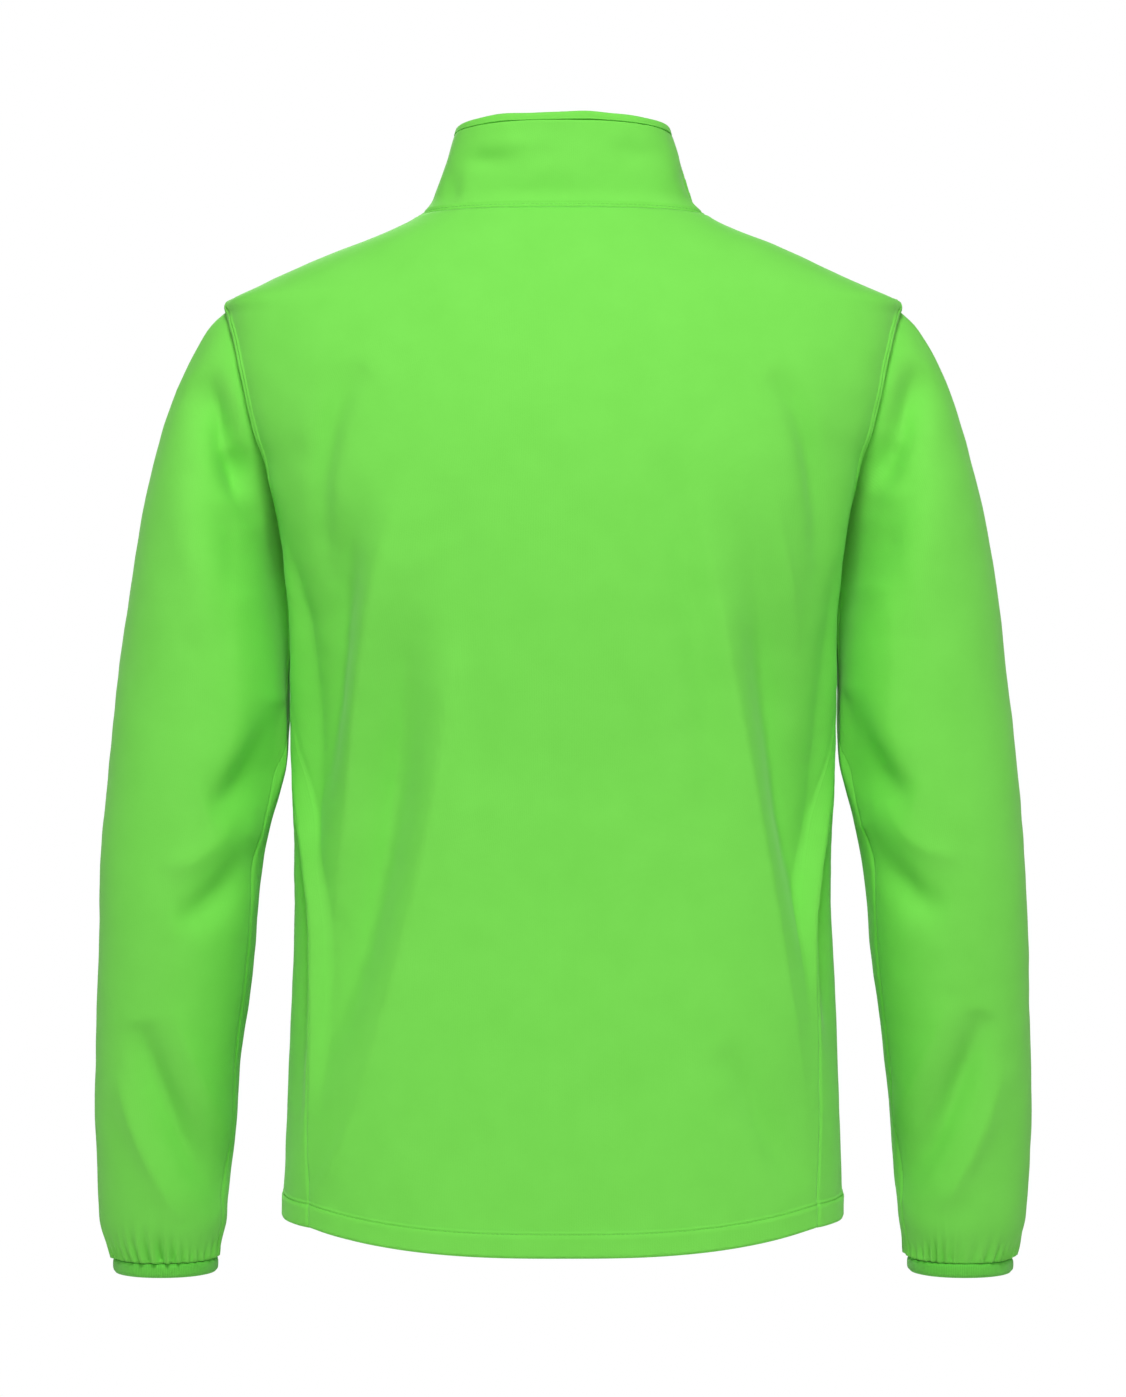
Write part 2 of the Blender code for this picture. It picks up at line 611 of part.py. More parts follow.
def add_wall(name, outer, inner, closed, material, parent):
    """A wall of cloth between two grids of points, open or closed round its columns."""
    rows, columns = outer.shape[:2]
    count = rows * columns
    faces = grid_faces(rows, columns, 0, closed, False)
    faces += grid_faces(rows, columns, count, closed, True)
    if closed:
        rings = [[r * columns + c for c in range(columns)] for r in (0, rows - 1)]
    else:
        row, col = border(rows, columns)
        rings = [list(row * columns + col)]
    vertices = np.concatenate([outer.reshape(-1, 3), inner.reshape(-1, 3)])
    for ring in rings:
        faces += edge_faces([int(i) for i in ring], count, vertices)
    return add_object(name, vertices, faces, material, parent)


def add_panel(name, points, normals, lift, reach, material, parent, proud=None):
    """A panel of cloth below its outer face.

    lift raises the whole wall, proud its outer face alone, and reach lengthens the wall where
    its edge is mitred.
    """
    face = drawn_back(points + normals * lift[..., None], normals)
    outer = face if proud is None else face + normals * proud[..., None]
    inner = face - normals * (CLOTH * reach)[..., None]
    return add_wall(name, outer, inner, False, material, parent)


def add_sweep(name, sections, material, parent):
    """A solid through closed sections of the same number of points, capped at both ends."""
    count, around = sections.shape[:2]
    faces = grid_faces(count, around, 0, True, False)
    faces.append(tuple(range(around)))
    faces.append(tuple((count - 1) * around + i for i in reversed(range(around))))
    return add_object(name, sections.reshape(-1, 3), faces, material, parent)


def add_box(name, low, high, material, parent):
    """A box between two corners, given in millimetres."""
    (x0, y0, z0), (x1, y1, z1) = low, high
    ring = [(x0, y0), (x1, y0), (x1, y1), (x0, y1)]
    sections = np.array([[(x, y, z) for x, y in ring] for z in (z0, z1)]) * MILLIMETRE
    return add_sweep(name, sections, material, parent)


# ---------------------------------------------------------------- materials and groups

def make_material(name, colour, roughness, metallic=0.0):
    """A Principled material of one colour."""
    material = bpy.data.materials.new(name)
    material.use_nodes = True
    shader = material.node_tree.nodes["Principled BSDF"]
    shader.inputs["Base Color"].default_value = (*colour, 1.0)
    shader.inputs["Roughness"].default_value = roughness
    shader.inputs["Metallic"].default_value = metallic
    return material


def make_group(name, place, parent=None):
    """An empty that carries pieces."""
    group = bpy.data.objects.new(name, None)
    group.empty_display_size = 0.02
    group.matrix_world = place
    if parent:
        group.parent = parent
        group.matrix_parent_inverse = parent.matrix_world.inverted()
    bpy.context.collection.objects.link(group)
    return group


# ---------------------------------------------------------------- the jacket

def mitre(body_normals, other_normals):
    """The shared normal of a seam between two faces, and how far it lengthens their walls."""
    shared = unit(body_normals + other_normals)
    return shared, 1 / np.sum(shared * body_normals, axis=-1)


def make_body(parent, cloth, fronts, back, front_reach, back_reach):
    """The back and the two fronts, with their hems turned up."""
    for name, (points, normals), reach in (
        ("front_l", fronts[0], front_reach[0]),
        ("back", back, back_reach),
        ("front_r", fronts[1], front_reach[1]),
    ):
        lift = body_folds(points, normals)
        proud = np.zeros_like(lift)
        proud[-2:] = HEM_PROUD
        add_panel(name, points, normals, lift, reach, cloth, parent, proud)


def make_sleeve(parent, cloth, trim, side, points, normals, reach):
    """One sleeve, as an upper and an under panel, and its cuff."""
    tag = "l" if side > 0 else "r"
    columns = points.shape[1]
    lift = sleeve_folds(points, normals, side)
    reach_back, reach_front = UNDER_SLEEVE_BACK, UNDER_SLEEVE_FRONT
    if side < 0:
        reach_back, reach_front = reach_front, reach_back
    under = columns // 2 + np.arange(-reach_back, reach_front + 1)
    upper = np.arange(under[-1], under[0] + columns + 1) % columns
    for name, chosen in (("sleeve_upper_" + tag, upper), ("sleeve_under_" + tag, under)):
        add_panel(name, points[:, chosen], normals[:, chosen], lift[:, chosen],
                  reach[:, chosen], cloth, parent)

    seam, out = points[-1], normals[-1]
    heights = (CUFF_TOP_Z - SEAM_GAP, CUFF_TOP_Z - SEAM_GAP - CUFF_PROUD, CUFF_BOTTOM_Z)
    level = np.array([1.0, 1.0, 0.0])
    face = np.array([seam * level + np.array([0, 0, z]) for z in heights])
    proud = np.array([0.0, CUFF_PROUD, CUFF_PROUD])[:, None, None]
    add_wall("cuff_" + tag, face + out * proud, face - out * CLOTH, True, trim, parent)


def make_collar(parent, cloth, neck, neck_normals, neck_reach):
    """The collar's outer ply, and the inner one that rolls over its top edge."""
    points, normals = collar_face(neck, COLLAR_HEIGHTS)
    reach = np.ones(points.shape[:2])
    normals[-1], reach[-1] = neck_normals, neck_reach
    face = drawn_back(points, normals)
    inner = face - normals * (COLLAR_PLY * reach)[..., None]
    add_wall("collar", face, inner, False, cloth, parent)

    lip = COLLAR_HEIGHTS[0] + 0.005
    near = COLLAR_PLY + SEAM_GAP
    deep = near + COLLAR_PLY
    middle = deep / 2
    behind = [(height, near) for height in (lip, *COLLAR_HEIGHTS[1:-1])]
    inside = [(height, deep) for height in (*COLLAR_HEIGHTS[-2:0:-1], 0.96)]
    roll = [(0.99, middle * 1.65), (1.0, middle), (0.99, middle * 0.35), (0.96, 0.0), (lip, 0.0)]
    section = behind + inside + roll
    sections = []
    for height, depth in section:
        row, out = collar_face(neck, (height,))
        edge = np.zeros(len(neck))
        edge[0], edge[-1] = SEAM_GAP / 2, -SEAM_GAP / 2
        sections.append(row[0] - out[0] * depth + edge[:, None] * np.array([1, 0, 0]))
    add_sweep("collar_facing", np.array(sections).transpose(1, 0, 2), cloth, parent)


def zip_path(neck_front):
    """The middle of the front, from above the hem to the collar's top: points and normals."""
    bottom = HEM_SIDE_Z + HEM_FRONT_RISE + ZIP_END_ABOVE_HEM
    z = np.linspace(bottom, NECK_Z - NECK_FRONT_DROP, 60)
    body = body_point(np.full_like(z, -math.pi / 2), z)
    rise = np.linspace(0, 0.98, 20)[1:]
    zero = np.zeros(1)
    collar = np.array([collar_point(neck_front[None], zero, h)[0] for h in rise])
    path = np.concatenate([body, collar])
    path[:, 0] = 0
    length = np.concatenate([[0], np.cumsum(np.linalg.norm(np.diff(path, axis=0), axis=1))])
    even = np.linspace(0, length[-1], 4 * ZIP_STEPS + 1)
    path = np.stack([np.interp(even, length, path[:, i]) for i in range(3)], axis=-1)
    path[1:-1] = (path[:-2] + 2 * path[1:-1] + path[2:]) / 4
    along = unit(np.gradient(path, axis=0))
    return path, np.stack([along[:, 0], -along[:, 2], along[:, 1]], axis=-1)


def make_zip(parent, tape_material, coil_material, slider_material, neck_front):
    """The closed zip: two tapes, the chain between them, the slider and its pull tab."""
    path, normals = zip_path(neck_front)
    in_collar = smooth_step(*ZIP_BEHIND_COLLAR_Z, path[:, 2])
    depth = TAPE_DEPTH_BODY + (TAPE_DEPTH_COLLAR - TAPE_DEPTH_BODY) * in_collar
    length = np.linalg.norm(np.diff(path, axis=0), axis=1)
    slider_at = int(len(path) - 1 - round(SLIDER_BELOW_TOP / length[-1]))

    def strip(name, x0, x1, top, thickness, rows, material):
        sections = []
        for row in rows:
            corners = []
            for x, below in ((x0, 0), (x1, 0), (x1, thickness), (x0, thickness)):
                bow = TAPE_BOW * in_collar[row] * (abs(x) >= TAPE_OUTER_X)
                corner = path[row] - normals[row] * (top[row] + below + bow)
                corners.append(corner + (x, 0, 0))
            sections.append(corners)
        add_sweep(name, np.array(sections), material, parent)

    rows = [row for row in range(len(path)) if row % 3 == 0 or path[row, 2] > ZIP_FINE_ABOVE_Z]
    strip("zip_tape_l", TAPE_INNER_X, TAPE_OUTER_X, depth, TAPE_THICKNESS, rows, tape_material)
    strip("zip_tape_r", -TAPE_OUTER_X, -TAPE_INNER_X, depth, TAPE_THICKNESS, rows, tape_material)
    chain_top = depth + (TAPE_THICKNESS - CHAIN_THICKNESS) / 2
    rows = [row for row in rows if row < slider_at] + [slider_at]
    strip("zip_chain", -CHAIN_HALF_WIDTH, CHAIN_HALF_WIDTH, chain_top, CHAIN_THICKNESS,
          rows, coil_material)

    tilt = math.atan2(normals[slider_at][2], -normals[slider_at][1])
    place = Matrix.Translation(Vector(path[slider_at])) @ Matrix.Rotation(-tilt, 4, "X")
    seat = make_group("slider_seat", place, parent)
    make_slider(seat, slider_material, depth[slider_at] / MILLIMETRE)
    hinge = make_group("pull_hinge", place @ Matrix.Translation((0, HINGE_Y * MILLIMETRE, 0)), seat)
    make_pull(hinge, slider_material)


def make_slider(seat, material, tape_depth):
    """The slider: a plate before the chain and one behind it, joined by a post, and a bridge.

    Lengths here are millimetres in the seat's own frame: x across, y into the jacket, z up.
    """
    chain_front = tape_depth + (TAPE_THICKNESS - CHAIN_THICKNESS) / 2 / MILLIMETRE
    chain_back = chain_front + CHAIN_THICKNESS / MILLIMETRE
    front = (chain_front - 0.3 - 1.4, chain_front - 0.3)
    back = (chain_back + 0.3, chain_back + 1.5)
    half = SLIDER_HALF_LENGTH
    slider = add_box("zip_slider", (-4, front[0], -half), (4, front[1], half), material, seat)
    others = (
        ("slider_back", (-4, back[0], -half), (4, back[1], half)),
        ("slider_post", (-1.2, front[1] - 0.4, 2.2), (1.2, back[0] + 0.4, half)),
        ("slider_bridge_low", (-1, BRIDGE_Y, -2.6), (1, front[0] + 0.4, -1.5)),
        ("slider_bridge_high", (-1, BRIDGE_Y, 1.5), (1, front[0] + 0.4, 2.6)),
        ("slider_bridge_top", (-1, BRIDGE_Y, -2.0), (1, BRIDGE_Y + 1, 2.0)),
    )
    for name, low, high in others:
        tool = add_box(name, low, high, material, seat)
        tool.hide_render = True
        tool.display_type = "WIRE"
        union = slider.modifiers.new(name, "BOOLEAN")
        union.operation = "UNION"
        union.solver = "EXACT"
        union.object = tool


def make_pull(hinge, material):
    """The pull tab: a flat plate whose top bar turns in the slider's bridge."""
    half = PULL_THICKNESS / 2
    outer = np.array([(-2.6, 0.6), (2.6, 0.6), (3.5, -0.4), (3.5, -19.0),
                      (2.2, -21.5), (-2.2, -21.5), (-3.5, -19.0), (-3.5, -0.4)])
    inner = np.array([(-1.5, -0.6), (1.5, -0.6), (1.5, -1.5), (1.5, -3.6),
                      (0.8, -4.2), (-0.8, -4.2), (-1.5, -3.6), (-1.5, -1.5)])
    around = len(outer)
    loops = [(outer, -half), (outer, half), (inner, half), (inner, -half)]
    vertices = [(x, y, z) for loop, y in loops for x, z in loop]
    faces = []
    for first in range(len(loops)):
        second = (first + 1) % len(loops)
        for a in range(around):
            b = (a + 1) % around
            faces.append((first * around + a, first * around + b,
                          second * around + b, second * around + a))
    add_object("zip_pull", np.array(vertices) * MILLIMETRE, faces, material, hinge)


def make_jacket():
    """Every piece of the jacket."""
    shell = make_material("softshell", SHELL_COLOUR, 0.85)
    binding = make_material("cuff_binding", SHELL_COLOUR, 0.9)
    tape = make_material("zip_tape", TAPE_COLOUR, 0.85)
    coil = make_material("zip_coil", TAPE_COLOUR, 0.45)
    metal = make_material("zip_slider", METAL_COLOUR, 0.35, 1.0)
    jacket = make_group("jacket", Matrix.Identity(4))

    back = back_face()
    front_left = front_face()
    front_right = tuple(mirrored(part) for part in front_left)
    fronts = (front_left, front_right)
    reach_back = np.ones(back[0].shape[:2])
    reach_fronts = [np.ones(front[0].shape[:2]) for front in fronts]

    # the neck seam, from the zip round the left side and the back to the zip
    neck = np.concatenate([fronts[0][0][0], back[0][0][1:], fronts[1][0][0][1:]])
    neck_normals = np.concatenate([fronts[0][1][0], back[1][0][1:], fronts[1][1][0][1:]])
    collar_normals = collar_face(neck, (0.01,))[1][0]
    neck_shared, neck_reach = mitre(neck_normals, collar_normals)
    last = FRONT_COLUMNS
    fronts[0][1][0], reach_fronts[0][0] = neck_shared[:last + 1], neck_reach[:last + 1]
    back[1][0], reach_back[0] = neck_shared[last:-last], neck_reach[last:-last]
    fronts[1][1][0], reach_fronts[1][0] = neck_shared[-last - 1:], neck_reach[-last - 1:]

    # the armholes, from the shoulder tip round the back to the underarm and up the front
    rows = slice(SHOULDER_STEPS, SHOULDER_STEPS + ARMHOLE_STEPS + 1)
    rear, rear_normals = back[0][rows, 0], back[1][rows, 0]
    fore, fore_normals = front_left[0][rows, -1], front_left[1][rows, -1]
    armhole = np.concatenate([rear, fore[-2:0:-1]])
    armhole_normals = np.concatenate([rear_normals, fore_normals[-2:0:-1]])
    sleeve = sleeve_face(armhole)
    sleeve_normals = grid_normals(sleeve, True)
    shared, stretch = mitre(armhole_normals, sleeve_normals[0])
    sleeve_normals[0] = shared
    reach_sleeve = np.ones(sleeve.shape[:2])
    reach_sleeve[0] = stretch
    round_back = np.arange(ARMHOLE_STEPS + 1)
    round_front = -round_back % len(armhole)
    flip = np.array([-1, 1, 1])
    for normals, reach, row_normals, row_stretch, column_at in (
        (back[1], reach_back, shared[round_back], stretch[round_back], 0),
        (back[1], reach_back, shared[round_back] * flip, stretch[round_back], -1),
        (fronts[0][1], reach_fronts[0], shared[round_front], stretch[round_front], -1),
        (fronts[1][1], reach_fronts[1], shared[round_front] * flip, stretch[round_front], 0),
    ):
        normals[rows, column_at] = row_normals
        reach[rows, column_at] = row_stretch

    make_body(jacket, shell, fronts, back, reach_fronts, reach_back)
    make_collar(jacket, shell, neck, neck_shared, neck_reach)
    make_sleeve(jacket, shell, binding, 1, sleeve, sleeve_normals, reach_sleeve)
    right = np.roll(mirrored(sleeve), 1, axis=1)
    right_normals = np.roll(mirrored(sleeve_normals), 1, axis=1)
    right_reach = np.roll(reach_sleeve[:, ::-1], 1, axis=1)
    make_sleeve(jacket, shell, binding, -1, right, right_normals, right_reach)
    make_zip(jacket, tape, coil, metal, neck[0])


for leftover in list(bpy.data.objects):
    bpy.data.objects.remove(leftover)
make_jacket()
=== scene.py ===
# %% [markdown]
# # A softshell jacket, seen from behind
#
# The jacket is filled out as if someone wore it, and hangs from its own neck. The solid model of
# it gives the places of every panel. This lesson makes the cloth: fine walls on the same
# surfaces, with the seams, the turned-up hem, the gathers and the folds that the solids only
# hint at.

# %% Load the solid model
import math

import bmesh
import bpy
import numpy as np
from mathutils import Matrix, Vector
from mathutils.bvhtree import BVHTree


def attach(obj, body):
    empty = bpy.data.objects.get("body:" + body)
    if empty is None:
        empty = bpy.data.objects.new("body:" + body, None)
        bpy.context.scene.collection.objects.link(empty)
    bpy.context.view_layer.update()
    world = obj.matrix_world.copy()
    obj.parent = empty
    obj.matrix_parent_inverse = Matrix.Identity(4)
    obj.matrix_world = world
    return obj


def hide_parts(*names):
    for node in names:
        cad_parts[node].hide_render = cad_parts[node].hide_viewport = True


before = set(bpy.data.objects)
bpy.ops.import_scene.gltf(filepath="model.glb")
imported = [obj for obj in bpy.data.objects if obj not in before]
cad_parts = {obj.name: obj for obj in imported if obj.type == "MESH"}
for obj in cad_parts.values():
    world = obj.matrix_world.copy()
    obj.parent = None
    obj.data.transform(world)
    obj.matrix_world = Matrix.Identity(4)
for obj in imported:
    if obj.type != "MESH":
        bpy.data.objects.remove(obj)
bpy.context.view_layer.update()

# %% [markdown]
# ## Sizes
#
# Softshell is two knits with a film between them, about 2 mm thick, and stiff enough to bend in
# long soft folds. The wearer's left is +X, the front faces -Y, and the middle of the neck is the
# origin. The sizes are those of the solids, so the cloth lies where they do.

# %% Named sizes, in metres
# The cloth, the seams and the turned-up hem
CLOTH = 0.0020
COLLAR_PLY = 0.0015
SEAM_GAP = 0.0003
HEM_DEPTH = 0.0145
HEM_PROUD = 0.0012

# The body's seams, and where its panels end
NECK_Z = -0.002
TIP_Z = -0.0604
UNDERARM_Z = -0.255
HEM_SIDE_Z = -0.677
HEM_BACK_DROP = 0.013
HEM_FRONT_RISE = 0.005
HEM_CURVE_TOP_Z = -0.405
NECK_FRONT_DROP = 0.070
NECK_FRONT_POWER = 2.3
SHOULDER_SEAM_Y = -0.012
ARMHOLE_BACK = 0.058
ARMHOLE_FRONT = 0.052
ARMHOLE_SKEW = 0.35
ARMPIT_HALF = 0.042
FRONT_EDGE_X = 0.005

# The collar
COLLAR_TOP_HALF_WIDTH = 0.0724
COLLAR_TOP_BACK = 0.058
COLLAR_TOP_FRONT = 0.084
COLLAR_TOP_Z = 0.058
COLLAR_TOP_BACK_RISE = 0.0038
COLLAR_TOP_FRONT_DROP = 0.066
COLLAR_FLARE = 0.006
COLLAR_FLARE_SHARE = 0.2
COLLAR_LIP = 0.91
COLLAR_STOPS = (0, 10, 34, 44)

# The sleeves
SLEEVE_CLEARANCE = 0.0030
CUFF_TOP_Z = -0.7138
CUFF_BOTTOM_Z = -0.7228
UNDER_SLEEVE_TURNS = (math.radians(165), math.radians(225))

# How square the sections are: 2 is an ellipse
ROUNDNESS = 2.6
SLEEVE_ROUNDNESS = 2.1
FACE_TO_SIDE = (0.55, 0.95)
TURNED_AWAY = 0.35

# %% [markdown]
# ## Cross-sections
#
# A pattern cutter thinks in girths at named levels: shoulder, chest, waist, hip. The tables give
# half widths and depths at such levels, and a smooth curve runs through each column. A loft
# through drawn outlines would give the same form. Functions are chosen because seams, folds and
# stitches then find their own places on the cloth at any height.

# %% The body's and the sleeve's sections
# Height, half width at the sides, half width of the faces, depth behind, depth in front
BODY_SECTIONS = (
    (0.000, 0.0945, 0.0945, 0.064, 0.034),
    (-0.0074, 0.1068, 0.1060, 0.070, 0.043),
    (-0.029, 0.1566, 0.1460, 0.0845, 0.056),
    (-0.051, 0.2060, 0.1770, 0.0962, 0.066),
    (-0.0604, 0.2262, 0.1870, 0.1004, 0.0705),
    (-0.0716, 0.2276, 0.1970, 0.1050, 0.077),
    (-0.0872, 0.2269, 0.2070, 0.1105, 0.0845),
    (-0.104, 0.2246, 0.2140, 0.1158, 0.0935),
    (-0.130, 0.2194, 0.2165, 0.1218, 0.1050),
    (-0.152, 0.2130, 0.2160, 0.1254, 0.1125),
    (-0.170, 0.2062, 0.2145, 0.1270, 0.1170),
    (-0.191, 0.2030, 0.2115, 0.1280, 0.1205),
    (-0.220, 0.1988, 0.2065, 0.1283, 0.1240),
    (-0.245, 0.1963, 0.2020, 0.1276, 0.1255),
    (-0.270, 0.1932, 0.1980, 0.1260, 0.1258),
    (-0.310, 0.1903, 0.1925, 0.1222, 0.1248),
    (-0.364, 0.1862, 0.1868, 0.117, 0.123),
    (-0.440, 0.1822, 0.1822, 0.115, 0.121),
    (-0.550, 0.1850, 0.1850, 0.120, 0.123),
    (-0.640, 0.1882, 0.1882, 0.125, 0.126),
    (-0.700, 0.1895, 0.1895, 0.128, 0.127),
)
# Height, and the side seam's angle in degrees, from the side towards the back
SIDE_SEAM = (
    (-0.255, 0.0),
    (-0.370, 3.0),
    (-0.410, 9.0),
    (-0.440, 15.0),
    (-0.470, 21.0),
    (-0.510, 24.0),
    (-0.560, 26.0),
    (-0.620, 28.0),
    (-0.660, 30.5),
    (-0.700, 31.5),
)
# Height, x of the inner and the outer side, y of the middle, half the depth
SLEEVE_SECTIONS = (
    (-0.310, 0.1790, 0.3008, 0.002, 0.067),
    (-0.345, 0.1785, 0.3048, 0.003, 0.065),
    (-0.364, 0.1820, 0.3067, 0.004, 0.064),
    (-0.382, 0.1880, 0.3087, 0.004, 0.063),
    (-0.432, 0.2013, 0.3128, 0.003, 0.060),
    (-0.500, 0.2090, 0.3158, -0.002, 0.057),
    (-0.5695, 0.2186, 0.3191, -0.012, 0.054),
    (-0.6394, 0.2266, 0.3201, -0.026, 0.051),
    (-0.6746, 0.2306, 0.3194, -0.032, 0.048),
    (-0.6903, 0.2323, 0.3178, -0.035, 0.0455),
    (-0.7030, 0.2362, 0.3138, -0.037, 0.0410),
    (-0.7138, 0.2390, 0.3090, -0.038, 0.0365),
)
TUBE_TOP_Z = SLEEVE_SECTIONS[0][0]
# Height, and the depth of the hollow under the arm
ARMPIT = (
    (-0.110, 0.0),
    (-0.135, 0.0010),
    (-0.150, 0.0045),
    (-0.165, 0.0095),
    (-0.183, 0.0140),
    (-0.201, 0.0160),
    (-0.235, 0.0160),
    (-0.255, 0.0150),
    (-0.278, 0.0120),
    (-0.310, 0.0070),
    (-0.351, 0.0025),
    (-0.400, 0.0),
)
# Height, and how far the sleeve's inner side slants
SLEEVE_SLANT = (
    (-0.310, 0.0080),
    (-0.360, 0.0100),
    (-0.450, 0.0090),
    (-0.540, 0.0060),
    (-0.620, 0.0020),
    (-0.680, 0.0),
)
# Share from the tip to the underarm, then how a column leaves the armhole: out, back, down,
# and how strongly it is pulled at its start and at its end
SLEEVE_HEAD = (
    (0.0, 0.67, 0.00, 0.74, 0.23, 0.22),
    (0.5, 0.80, 0.12, 0.45, 0.14, 0.17),
    (0.8, 0.95, 0.06, 0.20, 0.07, 0.12),
    (1.0, 1.00, 0.00, 0.00, 0.030, 0.080),
)


# %% Smooth steps, bells, and curves through a table's columns
FLIP = np.array([-1, 1, 1])
LEVEL = np.array([1, 1, 0])


def unit(vectors):
    return vectors / np.linalg.norm(vectors, axis=-1, keepdims=True)


def line_length(line):
    return round(float(np.linalg.norm(np.diff(line, axis=0), axis=1).sum()), 3)


def smooth_step(low, high, x):
    t = np.clip((x - low) / (high - low), 0, 1)
    return t * t * (3 - 2 * t)


def bell(distance, width):
    """1 at no distance, fading out to both sides over about twice this width."""
    return np.exp(-(distance / width) ** 2)


def squared_off(value, roundness):
    """A sine or a cosine, swollen so that its circle becomes a rounded oblong."""
    return np.sign(value) * np.abs(value) ** (2 / roundness)


def smooth_curve(knots, values):
    slopes = np.gradient(values, knots)

    def at(x):
        x = np.clip(x, knots[0], knots[-1])
        left = np.clip(np.searchsorted(knots, x) - 1, 0, len(knots) - 2)
        width = knots[left + 1] - knots[left]
        t = (x - knots[left]) / width
        start = values[left] * (1 + 2 * t) * (1 - t) ** 2
        end = values[left + 1] * t ** 2 * (3 - 2 * t)
        bend = slopes[left] * t * (1 - t) ** 2 - slopes[left + 1] * t ** 2 * (1 - t)
        return start + end + bend * width

    return at


def curves(table):
    """For each column after the first, a smooth function of the first one."""
    knots, *columns = np.array(sorted(table), float).T
    return [smooth_curve(knots, values) for values in columns]


SIDE_WIDTH, FACE_WIDTH, BACK_DEPTH, FRONT_DEPTH = curves(BODY_SECTIONS)
SIDE_SEAM_ANGLE = curves(SIDE_SEAM)[0]
INNER_X, OUTER_X, MIDDLE_Y, HALF_DEPTH = curves(SLEEVE_SECTIONS)
ARMPIT_DEPTH = curves(ARMPIT)[0]
SLANT = curves(SLEEVE_SLANT)[0]
print("half a chest at the underarm:", round(float(SIDE_WIDTH(UNDERARM_Z)), 4), "m")


# %% [markdown]
# ## The body's surface
#
# The back and the two fronts share one surface: a rounded oblong at each height. One tube could
# be cut apart along the seams, but a panel made as a grid between its own seams needs no cutting
# and has clean edges. Its rows bend a little near the armhole, so that its cells stay nearly
# square where the seam turns over the shoulder.

# %% How fine the grids are
SHOULDER_ROWS = 34
ARMHOLE_ROWS = 78
SIDE_ROWS = 104
ABOVE_HEM_ROWS = 0.003
HEM_ROWS = (0.0180, 0.0168, 0.0160, 0.0154, 0.0149, 0.0144, 0.0139, 0.0132, 0.0122, 0.0105,
            0.0085, 0.0065, 0.0048, 0.0034, 0.0023, 0.0014, 0.0007, 0.0002)
BACK_CELLS = 174
FRONT_CELLS = 92
EDGE_CELLS = 24
EDGE_SHARE = 0.036


# %% Points of the body
def body_point(angle, z):
    """Angle 0 is the left side, and 90 degrees the back."""
    cos, sin = np.cos(angle), np.sin(angle)
    share = squared_off(cos, ROUNDNESS)
    at_side = smooth_step(*FACE_TO_SIDE, np.abs(share))
    x = (FACE_WIDTH(z) * (1 - at_side) + SIDE_WIDTH(z) * at_side) * share
    y = body_depth(sin, z) * squared_off(sin, ROUNDNESS)
    x = x - np.sign(cos) * armpit_hollow(y, z) * at_side
    return np.stack([x, y, z + np.zeros_like(x)], axis=-1)


def body_depth(backwards, z):
    """The depth behind the middle where backwards is positive, and in front where not."""
    return np.where(backwards >= 0, BACK_DEPTH(z), FRONT_DEPTH(z))


def armpit_hollow(y, z):
    return ARMPIT_DEPTH(z) * bell(y, ARMPIT_HALF)


def angle_at(y, z):
    share = np.clip(np.abs(y) / body_depth(y, z), 0, 1)
    return np.sign(y) * np.arcsin(share ** (ROUNDNESS / 2))


def angle_at_x(x, z):
    return np.arccos((x / FACE_WIDTH(z)) ** (ROUNDNESS / 2))


def armhole_line(turn, facing):
    """Angles and heights of the armhole seam: turn 0 is the shoulder tip, and pi the underarm."""
    z = TIP_Z + (UNDERARM_Z - TIP_Z) * (1 - np.cos(turn)) / 2
    bow = ARMHOLE_BACK if facing > 0 else ARMHOLE_FRONT
    skewed = np.sin(turn) * (1 + ARMHOLE_SKEW * np.cos(turn))
    y = SHOULDER_SEAM_Y * (1 + np.cos(turn)) / 2 + facing * bow * skewed
    angle = np.where(turn > math.pi - 1e-6, 0.0, angle_at(y, z))
    return angle, z


def side_edge(facing):
    """A panel's outer edge, down the shoulder, the armhole and the side to the hem.

    Gives the angles, the heights, and the heights that the rows have away from the edge.
    """
    shoulder_z = np.linspace(NECK_Z, TIP_Z, SHOULDER_ROWS + 1)[:-1]
    shoulder = angle_at(np.full_like(shoulder_z, SHOULDER_SEAM_Y), shoulder_z)
    turn = np.linspace(0, math.pi, ARMHOLE_ROWS + 1)
    armhole, armhole_z = armhole_line(turn, facing)
    even_z = TIP_Z + (UNDERARM_Z - TIP_Z) * turn / math.pi
    hem_z = HEM_SIDE_Z + np.array(HEM_ROWS)
    side_z = np.linspace(UNDERARM_Z, hem_z[0] + ABOVE_HEM_ROWS, SIDE_ROWS + 1)[1:]
    side_z = np.concatenate([side_z, hem_z])
    side = np.radians(SIDE_SEAM_ANGLE(side_z))
    heights = np.concatenate([shoulder_z, armhole_z, side_z])
    away = np.concatenate([shoulder_z, even_z, side_z])
    return np.concatenate([shoulder, armhole, side]), heights, away


def hem_share(z):
    end = HEM_SIDE_Z + HEM_DEPTH
    return np.clip((HEM_CURVE_TOP_Z - z) / (HEM_CURVE_TOP_Z - end), 0, 1) ** 1.5


# %% Shares across a panel
def graded(cells):
    """Shares from 0 to 1, with short steps next to both ends for the seams' relief."""
    edge = np.linspace(0, EDGE_SHARE, EDGE_CELLS + 1)
    middle = np.linspace(EDGE_SHARE, 1 - EDGE_SHARE, cells - 2 * EDGE_CELLS + 1)
    return np.concatenate([edge, middle[1:-1], 1 - edge[::-1]])


